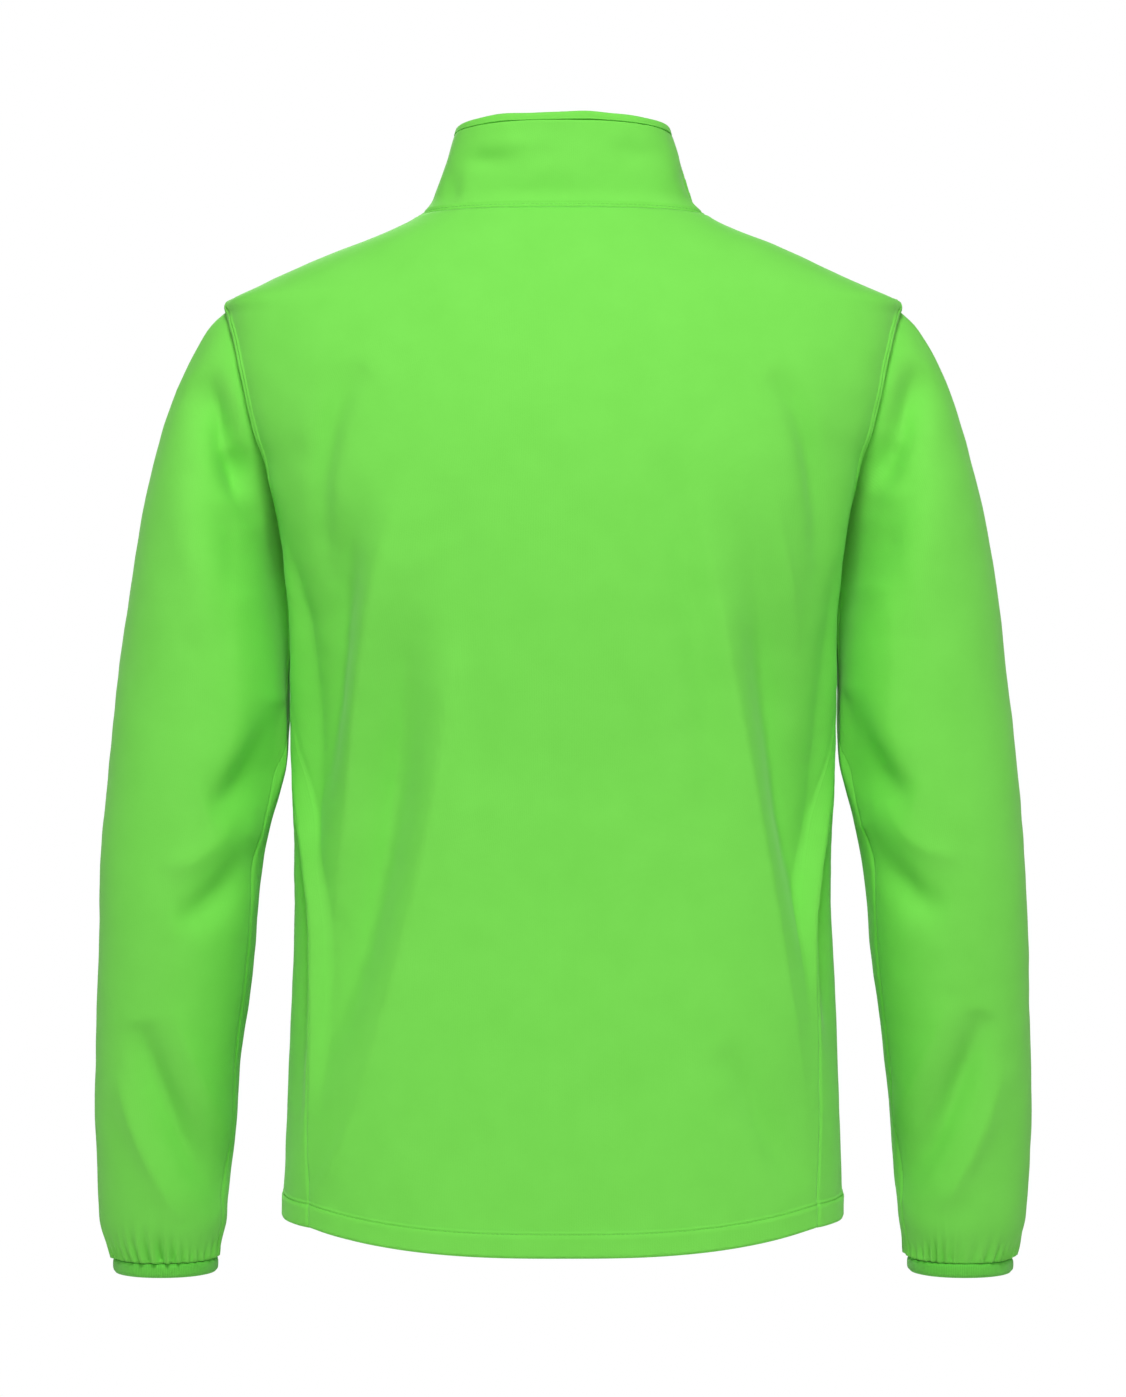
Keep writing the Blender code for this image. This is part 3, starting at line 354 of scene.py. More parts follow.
# %% The back's and the fronts' smooth grids
def back_grid():
    edge, heights, away = side_edge(1)
    share = graded(BACK_CELLS)
    inside = smooth_step(0, 0.5, 1 - np.abs(2 * share - 1))
    z = heights[:, None] + (away - heights)[:, None] * inside
    angles = edge[:, None] + (math.pi - 2 * edge[:, None]) * share
    z = z - HEM_BACK_DROP * np.sin(math.pi * share) ** 1.2 * hem_share(heights)[:, None]
    return body_point(angles, z)


def front_grid():
    """The left front, from the zip to its outer edge."""
    edge, heights, away = side_edge(-1)
    share = graded(FRONT_CELLS)[::-1]
    z = heights[:, None] + (away - heights)[:, None] * smooth_step(0, 0.5, share)
    fall = NECK_FRONT_DROP * (1 - smooth_step(NECK_Z, UNDERARM_Z, heights))
    z = z - fall[:, None] * share ** NECK_FRONT_POWER
    z = z + HEM_FRONT_RISE * share ** 1.5 * hem_share(heights)[:, None]
    zip_edge = -angle_at_x(FRONT_EDGE_X, z[:, 0])
    return body_point(edge[:, None] + (zip_edge - edge)[:, None] * share, z)


def mirrored(vectors):
    """The other side's grid, with its columns still running to the right."""
    return (vectors * FLIP)[:, ::-1]


def grid_normals(points, closed=False):
    """Outward normals of a grid whose rows run down and whose columns run round to the right."""
    if closed:
        across = np.roll(points, -1, axis=1) - np.roll(points, 1, axis=1)
    else:
        across = np.gradient(points, axis=1)
    return unit(np.cross(np.gradient(points, axis=0), across))


BACK = back_grid()
FRONT_L = front_grid()
print("back grid:", BACK.shape, "front grid:", FRONT_L.shape)


# %% [markdown]
# ## The sleeve's surface
#
# A sleeve is a tube that starts as the armhole's own loop, leans out over the shoulder's tip and
# turns down. A circle swept along the arm's line would have to be fitted to the armhole
# afterwards, so each column is one curve from a point of the armhole to the cuff instead. Where
# the arm hangs against the side, the tube is pressed flat and keeps just clear of the body.

# %% How fine the sleeve's grid is, and how softly it is pressed
SLEEVE_COLUMNS_ROUND = 126
BESIDE_SEAM = np.radians([-2.4, -1.6, -1.0, -0.5, 0.0, 0.5, 1.0, 1.6, 2.4])
BESIDE_REACH = math.radians(3.4)
PRESSED_BEND = 0.003
PRESSED_FROM = 0.012
HEAD_SHARES = np.concatenate([np.linspace(0, 0.03, 5)[:-1], np.linspace(0.03, 1, 50)[:-1]])
GATHERED_TOP_Z = CUFF_TOP_Z + 0.030
TUBE_HEIGHTS = np.concatenate([np.linspace(TUBE_TOP_Z, GATHERED_TOP_Z, 112)[:-1],
                               np.linspace(GATHERED_TOP_Z, CUFF_TOP_Z, 26)])


# %% Points of the left sleeve
def sleeve_ring(turn, z):
    """Turn 0 is the outer side, and 90 degrees the back."""
    cos, sin = np.cos(turn), np.sin(turn)
    x = (OUTER_X(z) + INNER_X(z)) / 2
    x = x + (OUTER_X(z) - INNER_X(z)) / 2 * squared_off(cos, SLEEVE_ROUNDNESS)
    backwards = 0.75 * (1 + sin) / 2 - 0.25
    x = x + SLANT(z) * np.clip(-cos, 0, 1) * backwards
    y = MIDDLE_Y(z) + HALF_DEPTH(z) * squared_off(sin, SLEEVE_ROUNDNESS)
    return np.stack([x, y, z + np.zeros_like(x)], axis=-1)


def clear_of_body(points):
    """The tube, pressed flat with a soft bend where it would touch the body's side."""
    x, y, z = points[..., 0], points[..., 1], points[..., 2]
    bow = np.clip(1 - (np.abs(y) / body_depth(y, z)) ** ROUNDNESS, 0, 1) ** (1 / ROUNDNESS)
    least = SIDE_WIDTH(z) * bow - armpit_hollow(y, z) + SLEEVE_CLEARANCE
    pressed = (x + least + np.sqrt((x - least) ** 2 + PRESSED_BEND ** 2)) / 2
    moved = points.copy()
    moved[..., 0] = x + (pressed - x) * smooth_step(UNDERARM_Z, UNDERARM_Z - PRESSED_FROM, z)
    return moved


def sleeve_turns():
    """The turns of the sleeve's columns, closer together beside its two lengthwise seams."""
    even = np.linspace(0, 2 * math.pi, SLEEVE_COLUMNS_ROUND, endpoint=False)
    keep = [t for t in even if min(abs(t - s) for s in UNDER_SLEEVE_TURNS) > BESIDE_REACH]
    return np.sort(np.concatenate([keep] + [s + BESIDE_SEAM for s in UNDER_SLEEVE_TURNS]))


# %% The left sleeve's smooth grid
def sleeve_grid(turn):
    """The sleeve's columns start at the shoulder tip, and run round the back to the underarm."""
    share = (1 - np.cos(turn)) / 2
    behind = turn <= math.pi
    rear = body_point(*armhole_line(np.minimum(turn, math.pi), 1))
    fore = body_point(*armhole_line(2 * math.pi - np.maximum(turn, math.pi), -1))
    armhole = np.where(behind[:, None], rear, fore)
    out, back, down, start_pull, end_pull = [curve(share) for curve in curves(SLEEVE_HEAD)]
    start = unit(np.stack([out, back * np.sin(turn), -down], axis=-1)) * start_pull[:, None]
    ring = sleeve_ring(turn, np.full(len(turn), TUBE_TOP_Z))
    below = sleeve_ring(turn, np.full(len(turn), TUBE_TOP_Z - 0.01))
    end = unit(below - ring) * end_pull[:, None]
    rows = []
    for t in HEAD_SHARES:
        row = armhole * (1 + 2 * t) * (1 - t) ** 2 + ring * t ** 2 * (3 - 2 * t)
        rows.append(row + start * t * (1 - t) ** 2 - end * t ** 2 * (1 - t))
    for z in TUBE_HEIGHTS:
        rows.append(sleeve_ring(turn, np.full(len(turn), z)))
    return clear_of_body(np.array(rows))


TURNS = sleeve_turns()
SLEEVE = sleeve_grid(TURNS)
print("sleeve grid:", SLEEVE.shape)


# %% [markdown]
# ## The collar's surface
#
# The collar stands up from the neck seam. It first leaves the seam at a slant and then leans in
# to its top edge, which dips towards the zip in front. It could be a band bent round the neck,
# but drawn from the seam to the top edge it meets the panels exactly.

# %% Points of the neck seam and the collar
def neck_line(share):
    """The neck seam, with share 0 at the zip, round the left side and the back, to 1 there."""
    columns = COLLAR_STOPS[-1]
    at = np.asarray(share) * columns
    shoulder = angle_at(np.array(SHOULDER_SEAM_Y), np.array(NECK_Z))
    fore = np.minimum(at, columns - at) / COLLAR_STOPS[1]
    fore = np.clip(1 - fore, 0, 1)
    z = NECK_Z - NECK_FRONT_DROP * fore ** NECK_FRONT_POWER
    zip_edge = -angle_at_x(FRONT_EDGE_X, NECK_Z - NECK_FRONT_DROP)
    angle = shoulder + (zip_edge - shoulder) * fore
    across = np.clip((at - COLLAR_STOPS[1]) / (COLLAR_STOPS[2] - COLLAR_STOPS[1]), 0, 1)
    back = shoulder + (math.pi - 2 * shoulder) * across
    in_back = (at >= COLLAR_STOPS[1]) & (at <= COLLAR_STOPS[2])
    angle = np.where(in_back, back, np.where(at < COLLAR_STOPS[1], angle, math.pi - angle))
    return body_point(angle, np.where(in_back, NECK_Z, z))


def collar_point(neck, share, height):
    zip_angle = math.acos((FRONT_EDGE_X / COLLAR_TOP_HALF_WIDTH) ** (ROUNDNESS / 2))
    seam_angle = math.asin((-SHOULDER_SEAM_Y / COLLAR_TOP_FRONT) ** (ROUNDNESS / 2))
    stops = np.array(COLLAR_STOPS) / COLLAR_STOPS[-1]
    turns = np.array([-zip_angle, -seam_angle, math.pi + seam_angle, math.pi + zip_angle])
    angle = np.interp(share, stops, turns)
    cos, sin = np.cos(angle), np.sin(angle)
    depth = np.where(sin >= 0, COLLAR_TOP_BACK, COLLAR_TOP_FRONT)
    front_drop = COLLAR_TOP_FRONT_DROP * np.clip(-sin, 0, 1) ** 2.2
    rim = np.stack([
        COLLAR_TOP_HALF_WIDTH * squared_off(cos, ROUNDNESS),
        depth * squared_off(sin, ROUNDNESS),
        COLLAR_TOP_Z + COLLAR_TOP_BACK_RISE * np.clip(sin, 0, 1) ** 2 - front_drop,
    ], axis=-1)
    outward = unit(neck * LEVEL)
    flare = np.clip(1 - height / COLLAR_FLARE_SHARE, 0, 1) ** 2
    dip = COLLAR_FLARE * ((1 - height) - flare)
    return neck + (rim - neck) * height - outward * dip


COLLAR_SHARE = np.linspace(0, 1, 221)
NECK = neck_line(COLLAR_SHARE)
print("neck seam:", line_length(NECK), "m")


# %% [markdown]
# ## Folds
#
# Softshell buckles in a few long folds. Each is a line through three points, with a height and
# the half-width of its slopes. A sharp one has a narrow crest, and a round one is a soft roll. The
# largest are steps: the cloth stands up along a crest, drops away on the crest's outer side, and
# slowly comes back. Folds can also be sculpted or simulated. Lines are chosen because each can
# be put just where it is seen, and comes out the same every time. They were placed one by one, and
# those on the hidden front are of the same kind.

# %% The folds, by panel
# x and z of three points, then height, half-width and sharpness
BACK_FOLDS = (
    (0.128, -0.112, 0.155, -0.160, 0.163, -0.262, -0.0062, 0.009, 0.0),
    (-0.134, -0.116, -0.163, -0.165, -0.172, -0.272, -0.0070, 0.009, 0.0),
    (-0.136, -0.195, -0.150, -0.245, -0.164, -0.300, 0.0030, 0.006, 0.4),
    (-0.060, -0.165, -0.088, -0.290, -0.099, -0.430, -0.0050, 0.012, 0.0),
    (0.070, -0.185, 0.066, -0.285, 0.056, -0.400, -0.0035, 0.014, 0.0),
    (0.002, -0.330, 0.001, -0.460, 0.002, -0.600, -0.0036, 0.011, 0.0),
    (0.134, -0.600, 0.149, -0.632, 0.168, -0.664, 0.0030, 0.007, 0.6),
    (-0.105, -0.555, -0.130, -0.602, -0.158, -0.652, -0.0060, 0.011, 0.0),
    (-0.030, -0.470, -0.038, -0.560, -0.040, -0.640, -0.0020, 0.013, 0.0),
)
# x and z of three points, then the crest's height, the drop, and the width of the drop
BACK_STEPS = (
    (0.104, -0.180, 0.136, -0.315, 0.166, -0.500, 0.0045, 0.0180, 0.028),
    (0.062, -0.230, 0.093, -0.440, 0.158, -0.660, 0.0040, 0.0210, 0.036),
    (-0.084, -0.190, -0.125, -0.390, -0.164, -0.615, 0.0050, 0.0210, 0.032),
)
FRONT_STEPS = (
    (0.092, -0.200, 0.124, -0.360, 0.150, -0.540, 0.0026, 0.0110, 0.034),
    (-0.080, -0.210, -0.112, -0.350, -0.150, -0.560, 0.0028, 0.0120, 0.034),
)
# Folds again, on the fronts and on the left sleeve
FRONT_FOLDS = (
    (0.066, -0.330, 0.074, -0.440, 0.092, -0.570, -0.0040, 0.013, 0.0),
    (-0.052, -0.280, -0.060, -0.400, -0.070, -0.540, -0.0045, 0.013, 0.0),
    (0.116, -0.118, 0.134, -0.152, 0.145, -0.215, -0.0060, 0.010, 0.0),
    (-0.118, -0.116, -0.136, -0.148, -0.146, -0.220, -0.0060, 0.010, 0.0),
)
SLEEVE_BACK_FOLDS = (
    (0.246, -0.112, 0.224, -0.150, 0.204, -0.196, -0.0200, 0.016, 0.0),
    (0.218, -0.160, 0.208, -0.186, 0.198, -0.212, -0.0130, 0.012, 0.0),
    (0.250, -0.180, 0.242, -0.235, 0.238, -0.295, 0.0050, 0.016, 0.0),
    (0.225, -0.200, 0.218, -0.232, 0.212, -0.262, -0.0040, 0.012, 0.0),
    (0.192, -0.330, 0.205, -0.378, 0.236, -0.404, -0.0115, 0.012, 0.0),
    (0.205, -0.423, 0.230, -0.462, 0.260, -0.477, -0.0070, 0.011, 0.0),
    (0.216, -0.403, 0.240, -0.433, 0.268, -0.440, 0.0040, 0.010, 0.4),
    (0.284, -0.545, 0.266, -0.602, 0.230, -0.678, -0.0105, 0.011, 0.0),
    (0.299, -0.580, 0.282, -0.635, 0.258, -0.684, 0.0055, 0.009, 0.5),
    (0.262, -0.535, 0.244, -0.585, 0.226, -0.635, 0.0040, 0.010, 0.4),
)
SLEEVE_FRONT_FOLDS = (
    (0.250, -0.130, 0.228, -0.170, 0.212, -0.210, -0.0090, 0.013, 0.0),
    (0.205, -0.395, 0.240, -0.420, 0.285, -0.410, -0.0095, 0.011, 0.0),
    (0.212, -0.440, 0.245, -0.450, 0.290, -0.438, 0.0060, 0.010, 0.5),
    (0.212, -0.470, 0.245, -0.484, 0.280, -0.470, -0.0070, 0.011, 0.0),
    (0.225, -0.560, 0.250, -0.610, 0.285, -0.650, -0.0085, 0.012, 0.0),
)


# %% How a fold lifts the cloth
ALONG = np.linspace(0, 1, 181)
CREST_SLOPES = (0.012, 0.005)
STEP_RETURN = 0.05
STEP_DROP_SCALE = 1.15
STEP_GROWS = (0.0, 0.40)
STEP_FADES = (0.50, 0.98)


def through_three(first, middle, last):
    """A curve's values, from the ones at its start, its middle and its end."""
    bend = 2 * middle - (first + last) / 2
    return (1 - ALONG) ** 2 * first + 2 * ALONG * (1 - ALONG) * bend + ALONG ** 2 * last


def fold_heights(points, folds):
    """How far the folds lift each point, seen from behind."""
    height = np.zeros(points.shape[:-1])
    for x0, z0, x1, z1, x2, z2, peak, width, sharpness in folds:
        line_x, line_z = through_three(x0, x1, x2), through_three(z0, z1, z2)
        near = (np.abs(points[..., 0] - x1) < abs(x2 - x0) / 2 + 4 * width + 0.01)
        near &= (np.abs(points[..., 2] - z1) < abs(z2 - z0) / 2 + 4 * width + 0.01)
        x, z = points[near][:, 0], points[near][:, 2]
        if not len(x):
            continue
        apart = np.hypot(x[:, None] - line_x, z[:, None] - line_z)
        across = apart.min(axis=-1) / width
        taper = np.sin(math.pi * ALONG[apart.argmin(axis=-1)]) ** 0.8
        crest = (1 - sharpness) * np.exp(-across ** 2) + sharpness * np.exp(-2.2 * across)
        height[near] += peak * taper * crest
    return height


def step_heights(points, steps):
    """How far the steps lift each point: a narrow crest, and a drop on its outer side."""
    height = np.zeros(points.shape[:-1])
    x, z = points[..., 0], points[..., 2]
    for x0, z0, x1, z1, x2, z2, crest, drop, width in steps:
        line_x, line_z = through_three(x0, x1, x2), through_three(z0, z1, z2)
        down = np.argsort(line_z)
        at = np.interp(z, line_z[down], ALONG[down])
        lean = np.interp(z, line_z[down], np.gradient(line_x, line_z)[down])
        across = (x - np.interp(z, line_z[down], line_x[down])) * np.sign(x1)
        across = across / np.sqrt(1 + lean ** 2)
        ridge = crest * np.exp(-np.abs(across) / np.where(across < 0, *CREST_SLOPES))
        fall = drop * smooth_step(0, width, across)
        fall *= np.exp(-np.clip(across - width, 0, 1) / STEP_RETURN)
        fall *= smooth_step(*STEP_GROWS, at) * (1 - smooth_step(*STEP_FADES, at))
        height += np.sin(math.pi * np.clip(at, 0, 1)) * ridge - STEP_DROP_SCALE * fall
    return height


# %% Unevenness, and which way the cloth faces
WAVES = 14


def ripple(points, size, seed):
    """A gentle unevenness between -1 and 1, of waves about this size long."""
    random = np.random.default_rng(seed)
    total = np.zeros(points.shape[:-1])
    for _ in range(WAVES):
        direction = random.normal(size=3)
        direction = direction / np.linalg.norm(direction) * random.uniform(0.7, 1.5)
        total += np.sin(points @ direction * 2 * math.pi / size + random.uniform(0, 6.28))
    return total / WAVES ** 0.5 / 1.6


def back_and_front(normals):
    """How far each point faces the back, and how far the front, from 0 to 1."""
    return (smooth_step(0, TURNED_AWAY, normals[..., 1]),
            smooth_step(0, TURNED_AWAY, -normals[..., 1]))


print("folds and steps behind:", len(BACK_FOLDS + BACK_STEPS), "each sleeve:",
      len(SLEEVE_BACK_FOLDS + SLEEVE_FRONT_FOLDS))


# %% [markdown]
# ## Seams
#
# A seam is where two panels turn in: the cloth rolls down over the last millimetre or two. Where
# the allowance is pressed to one side and stitched down, that side stands a little proud, up to
# the row of stitches, which pulls a fine groove. A bump in the material would be cheaper, but it
# vanishes at the outline and from the exported shape, so the relief is real.

# %% Relief beside a seam, from each point's distance to it
STITCH_INSET = 0.0010
PUCKER_HEIGHT = 0.00025
PUCKER_REACH = 0.010
PUCKER_SIZE = 0.016


def distance_to(points, line):
    """The distance of each point of a grid to a line of close points."""
    flat = points.reshape(-1, 3)
    best = np.full(len(flat), 1.0)
    near = np.ones(len(flat), bool)
    for axis in range(3):
        low, high = line[:, axis].min() - 0.03, line[:, axis].max() + 0.03
        near &= (flat[:, axis] > low) & (flat[:, axis] < high)
    chosen = flat[near]
    start, step = line[:-1], np.diff(line, axis=0)
    length = np.maximum((step ** 2).sum(axis=1), 1e-12)
    found = np.full(len(chosen), 1.0)
    batch = 4000
    for first in range(0, len(chosen), batch):
        part = chosen[first:first + batch, None]
        t = np.clip(((part - start) * step).sum(axis=-1) / length, 0, 1)
        apart = np.linalg.norm(part - start - step * t[..., None], axis=-1)
        found[first:first + batch] = apart.min(axis=1)
    best[near] = found
    return best.reshape(points.shape[:-1])


def roll_in(distance, depth=0.0009, width=0.0016):
    return -depth * bell(distance, width)


def groove(distance, away, depth, width):
    """The fine trough that a row of stitches pulls, this far away from a seam."""
    return -depth * bell(distance - away, width)


def stitched_band(distance, band, height):
    """A band of this width beside a seam, raised, with a groove under its row of stitches."""
    raised = height * (1 - smooth_step(band - 0.0002, band + 0.0010, distance))
    return raised + groove(distance, band - STITCH_INSET, 0.0013, 0.0007)


def pucker(points, distance, seed):
    """The small waves that a seam draws up in the cloth beside it."""
    return PUCKER_HEIGHT * bell(distance, PUCKER_REACH) * ripple(points, PUCKER_SIZE, seed)


# %% [markdown]
# ## Walls of cloth
#
# Each panel is a closed wall: an outer face, an inner face one cloth's thickness below it, and a
# rounded rim between them. Where the rim shows, as at the hem, it bulges like a folded edge. A
# Solidify modifier makes such walls too, but of one thickness and with a flat rim. UVs in metres
# follow the grid, so that the knit runs along the panel as it is cut.

# %% A grid's border
def border(rows, columns):
    """The rows and columns of a grid's border, clockwise as seen from outside."""
    loop = [(0, c) for c in range(columns)]
    loop += [(r, columns - 1) for r in range(1, rows)]
    loop += [(rows - 1, c) for c in range(columns - 2, -1, -1)]
    loop += [(r, 0) for r in range(rows - 2, 0, -1)]
    return np.array(loop)


def drawn_back(points, normals):
    """The grid with its border drawn back from the seam lines by half the seam gap."""
    row, col = border(*points.shape[:2]).T
    edge = points[row, col]
    after = np.roll(edge, -1, axis=0) - np.roll(edge, 1, axis=0)
    inward = unit(np.cross(unit(after), normals[row, col]))
    moved = points.copy()
    moved[row, col] += SEAM_GAP / 2 * inward
    return moved


# %% UVs and new objects
def uv_metres(points):
    """UVs in metres: across along the middle row, and down along each column."""
    steps = np.linalg.norm(np.diff(points, axis=1), axis=-1).mean(axis=0)
    across = np.concatenate([[0], np.cumsum(steps)])
    down = np.linalg.norm(np.diff(points, axis=0), axis=-1).mean(axis=1)
    down = np.concatenate([[0], np.cumsum(down)])
    u, v = np.meshgrid(across, -down)
    return np.stack([u, v], axis=-1)


def add_object(name, data):
    made = bpy.data.objects.new(name, data)
    bpy.context.collection.objects.link(made)
    return made


def add_mesh(name, vertices, faces, uvs, materials):
    """A new object from its points and faces, with a UV for each point."""
    mesh = bpy.data.meshes.new(name)
    mesh.from_pydata(vertices.tolist(), [], faces)
    corners = [corner for face in faces for corner in face]
    mesh.uv_layers.new(name="UVMap").data.foreach_set("uv", uvs[corners].ravel())
    for material in materials:
        mesh.materials.append(material)
    mesh.shade_smooth()
    return add_object(name, mesh)


# %% Build a wall from two grids
RIM_STEPS = 3
FLAT_RIM = 0.0001


def rim_rings(high, low, swell):
    """Rings of points from an outer edge round to an inner one, swollen outwards between."""
    tangent = unit(np.roll(high, -1, axis=0) - np.roll(high, 1, axis=0))
    out = unit(np.cross(unit(high - low), tangent))
    middle, half = (high + low) / 2, (high - low) / 2
    rings = []
    for step in range(1, RIM_STEPS + 1):
        turn = math.pi * step / (RIM_STEPS + 1)
        round_off = out * (np.asarray(swell)[..., None] * math.sin(turn))
        rings.append(middle + half * math.cos(turn) + round_off)
    return rings


def add_wall(name, outer, inner, materials, swells=(FLAT_RIM,), closed=False):
    """A closed wall. The swells say, for each border loop, how far its rim bulges."""
    rows, columns = outer.shape[:2]
    count = rows * columns
    index = np.arange(count).reshape(rows, columns)
    right = np.roll(index, -1, axis=1) if closed else index[:, 1:]
    left = index if closed else index[:, :-1]
    a, b = left[:-1].ravel(), right[:-1].ravel()
    d, c = left[1:].ravel(), right[1:].ravel()
    faces = [np.stack([a, d, c, b], axis=1), np.stack([a, b, c, d], axis=1) + count]
    inside = [np.zeros(len(a), int), np.ones(len(a), int)]
    if closed:
        loops = [np.stack([np.zeros(columns, int), np.arange(columns)], axis=1),
                 np.stack([np.full(columns, rows - 1), np.arange(columns)[::-1]], axis=1)]
    else:
        loops = [border(rows, columns)]
    vertices = [outer.reshape(-1, 3), inner.reshape(-1, 3)]
    metres = uv_metres(outer)
    layout = [metres.reshape(-1, 2), metres.reshape(-1, 2)]
    total = 2 * count
    for loop, swell in zip(loops, swells):
        r, k = loop[:, 0], loop[:, 1]
        rings = [r * columns + k]
        for points in rim_rings(outer[r, k], inner[r, k], swell):
            vertices.append(points)
            layout.append(metres[r, k])
            rings.append(total + np.arange(len(loop)))
            total += len(loop)
        rings.append(r * columns + k + count)
        for first, second in zip(rings, rings[1:]):
            ring_faces = [first, np.roll(first, -1), np.roll(second, -1), second]
            faces.append(np.stack(ring_faces, axis=1))
            inside.append(np.zeros(len(loop), int))
    piece = add_mesh(name, np.concatenate(vertices), np.concatenate(faces).tolist(),
                     np.concatenate(layout), materials)
    piece.data.polygons.foreach_set("material_index", np.concatenate(inside))
    return piece


# %% [markdown]
# ## Materials
#
# The face is a very fine knit with a matte, slightly furry look, all in one lime green. The knit
# shows as a faint grain and fine upright wales, and a soft sheen lightens what turns away. The
# inside is a short fleece of the same green. Thread, tape and binding match, tone on tone. All
# are made of noise and waves, which stay sharp at any distance and need no picture of a cloth.

# %% Helpers for the materials' nodes
def set_inputs(node, inputs):
    for socket, value in inputs.items():
        node.inputs[socket.replace("_", " ")].default_value = value


def new_material(name, colour, roughness, **sockets):
    material = bpy.data.materials.new(name)
    material.use_nodes = True
    shader = material.node_tree.nodes["Principled BSDF"]
    set_inputs(shader, {"Base Color": (*colour, 1.0), "Roughness": roughness, **sockets})
    return material, material.node_tree, shader


def add_node(tree, kind, **inputs):
    node = tree.nodes.new(kind)
    set_inputs(node, inputs)
    return node


def link(tree, source, output, target, socket):
    tree.links.new(source.outputs[output], target.inputs[socket])


def noise_node(tree, scale, detail):
    """Noise that is fixed to the object, finer as its scale grows."""
    node = add_node(tree, "ShaderNodeTexNoise", Scale=scale, Detail=detail)
    link(tree, add_node(tree, "ShaderNodeTexCoord"), "Object", node, "Vector")
    return node


def ribs_node(tree, direction, scale, distortion, detail):
    """Ribs across one direction of the piece's own UVs."""
    node = add_node(tree, "ShaderNodeTexWave", Scale=scale, Distortion=distortion, Detail=detail)
    node.wave_type = "BANDS"
    node.bands_direction = direction
    link(tree, add_node(tree, "ShaderNodeTexCoord"), "UV", node, "Vector")
    return node


def bump_node(tree, texture, strength, distance, under=None):
    """Relief from a texture, on top of other relief where there is some."""
    node = add_node(tree, "ShaderNodeBump", Strength=strength, Distance=distance)
    link(tree, texture, "Fac", node, "Height")
    if under:
        link(tree, under, "Normal", node, "Normal")
    return node


def tinted(tree, shader, texture, dark, light, low=0.3, high=0.7):
    """The base colour runs from dark to light as the texture runs from low to high."""
    ramp = add_node(tree, "ShaderNodeValToRGB")
    for stop, position, colour in zip(ramp.color_ramp.elements, (low, high), (dark, light)):
        stop.position = position
        stop.color = (*colour, 1)
    link(tree, texture, "Fac", ramp, "Fac")
    link(tree, ramp, "Color", shader, "Base Color")


# %% The softshell's knit face
LIME = (0.190, 0.735, 0.084)
LIME_DARK = (0.185, 0.724, 0.081)
LIME_LIGHT = (0.195, 0.746, 0.087)


def softshell_material():
    """A faint mottle of colour, fine upright wales, and a fuzz over them."""
    material, tree, shader = new_material(
        "softshell_face", LIME, 0.86, Sheen_Weight=0.18, Sheen_Roughness=0.45,
        Sheen_Tint=(0.75, 1.0, 0.65, 1.0), Specular_IOR_Level=0.25)
    tinted(tree, shader, noise_node(tree, 34.0, 4.0), LIME_DARK, LIME_LIGHT)
    wales = bump_node(tree, ribs_node(tree, "X", 230.0, 1.2, 1.0), 0.12, 0.0002)
    fuzz = bump_node(tree, noise_node(tree, 1500.0, 2.0), 0.25, 0.0003, wales)
    link(tree, fuzz, "Normal", shader, "Normal")
    return material


SOFTSHELL = softshell_material()
print("softshell nodes:", len(SOFTSHELL.node_tree.nodes))


# %% The fleece inside, the binding, the thread, the tape, the coil and the metal
def fleece_material():
    material, tree, shader = new_material("fleece_inside", (0.17, 0.66, 0.07), 0.95,
                                          Sheen_Weight=0.5)
    tufts = noise_node(tree, 420.0, 5.0)
    tinted(tree, shader, tufts, (0.13, 0.56, 0.05), (0.22, 0.74, 0.10))
    link(tree, bump_node(tree, tufts, 0.6, 0.0012), "Normal", shader, "Normal")
    return material


def ribbed_material(name, dark, light, roughness, scale, direction, strength):
    """A woven or knitted band with ribs."""
    material, tree, shader = new_material(name, light, roughness, Sheen_Weight=0.15)
    ribs = ribs_node(tree, direction, scale, 0.8, 2.0)
    tinted(tree, shader, ribs, dark, light, 0.1, 0.8)
    link(tree, bump_node(tree, ribs, strength, 0.0004), "Normal", shader, "Normal")
    return material


def thread_material():
    material, tree, shader = new_material("polyester_thread", (0.13, 0.60, 0.05), 0.5)
    tinted(tree, shader, noise_node(tree, 2400.0, 1.0), (0.10, 0.52, 0.035), (0.17, 0.68, 0.07))
    return material


def metal_material():
    """Lacquered zinc: a satin grey with fine scuffs."""
    material, tree, shader = new_material("zip_metal", (0.42, 0.43, 0.42), 0.34, Metallic=1.0)
    spread = add_node(tree, "ShaderNodeMapRange", To_Min=0.26, To_Max=0.46)
    link(tree, noise_node(tree, 900.0, 6.0), "Fac", spread, "Value")
    link(tree, spread, "Result", shader, "Roughness")
    return material


FLEECE = fleece_material()
BINDING = ribbed_material("elastic_binding", (0.10, 0.53, 0.040), (0.13, 0.61, 0.055), 0.85,
                          260.0, "X", 0.2)
THREAD = thread_material()
TAPE = ribbed_material("zip_tape_weave", (0.11, 0.54, 0.045), (0.17, 0.68, 0.075), 0.8,
                       420.0, "Y", 0.5)
COIL = new_material("zip_coil_nylon", (0.15, 0.64, 0.065), 0.42, Coat_Weight=0.1)[0]
METAL = metal_material()


# %% Finish each cloth piece
def finished(piece, body, nodes):
    """Tie a piece to its body, and hide the solids that it stands for."""
    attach(piece, body)
    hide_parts(*nodes)
    print(piece.name, "faces:", len(piece.data.polygons))
    return piece


def layer_area(points, closed=False):
    """The area of a grid, in square metres."""
    if closed:
        points = np.concatenate([points, points[:, :1]], axis=1)
    a, b = points[:-1, :-1], points[1:, 1:]
    c, d = points[:-1, 1:], points[1:, :-1]
    return float(np.linalg.norm(np.cross(b - a, d - c), axis=-1).sum() / 2)


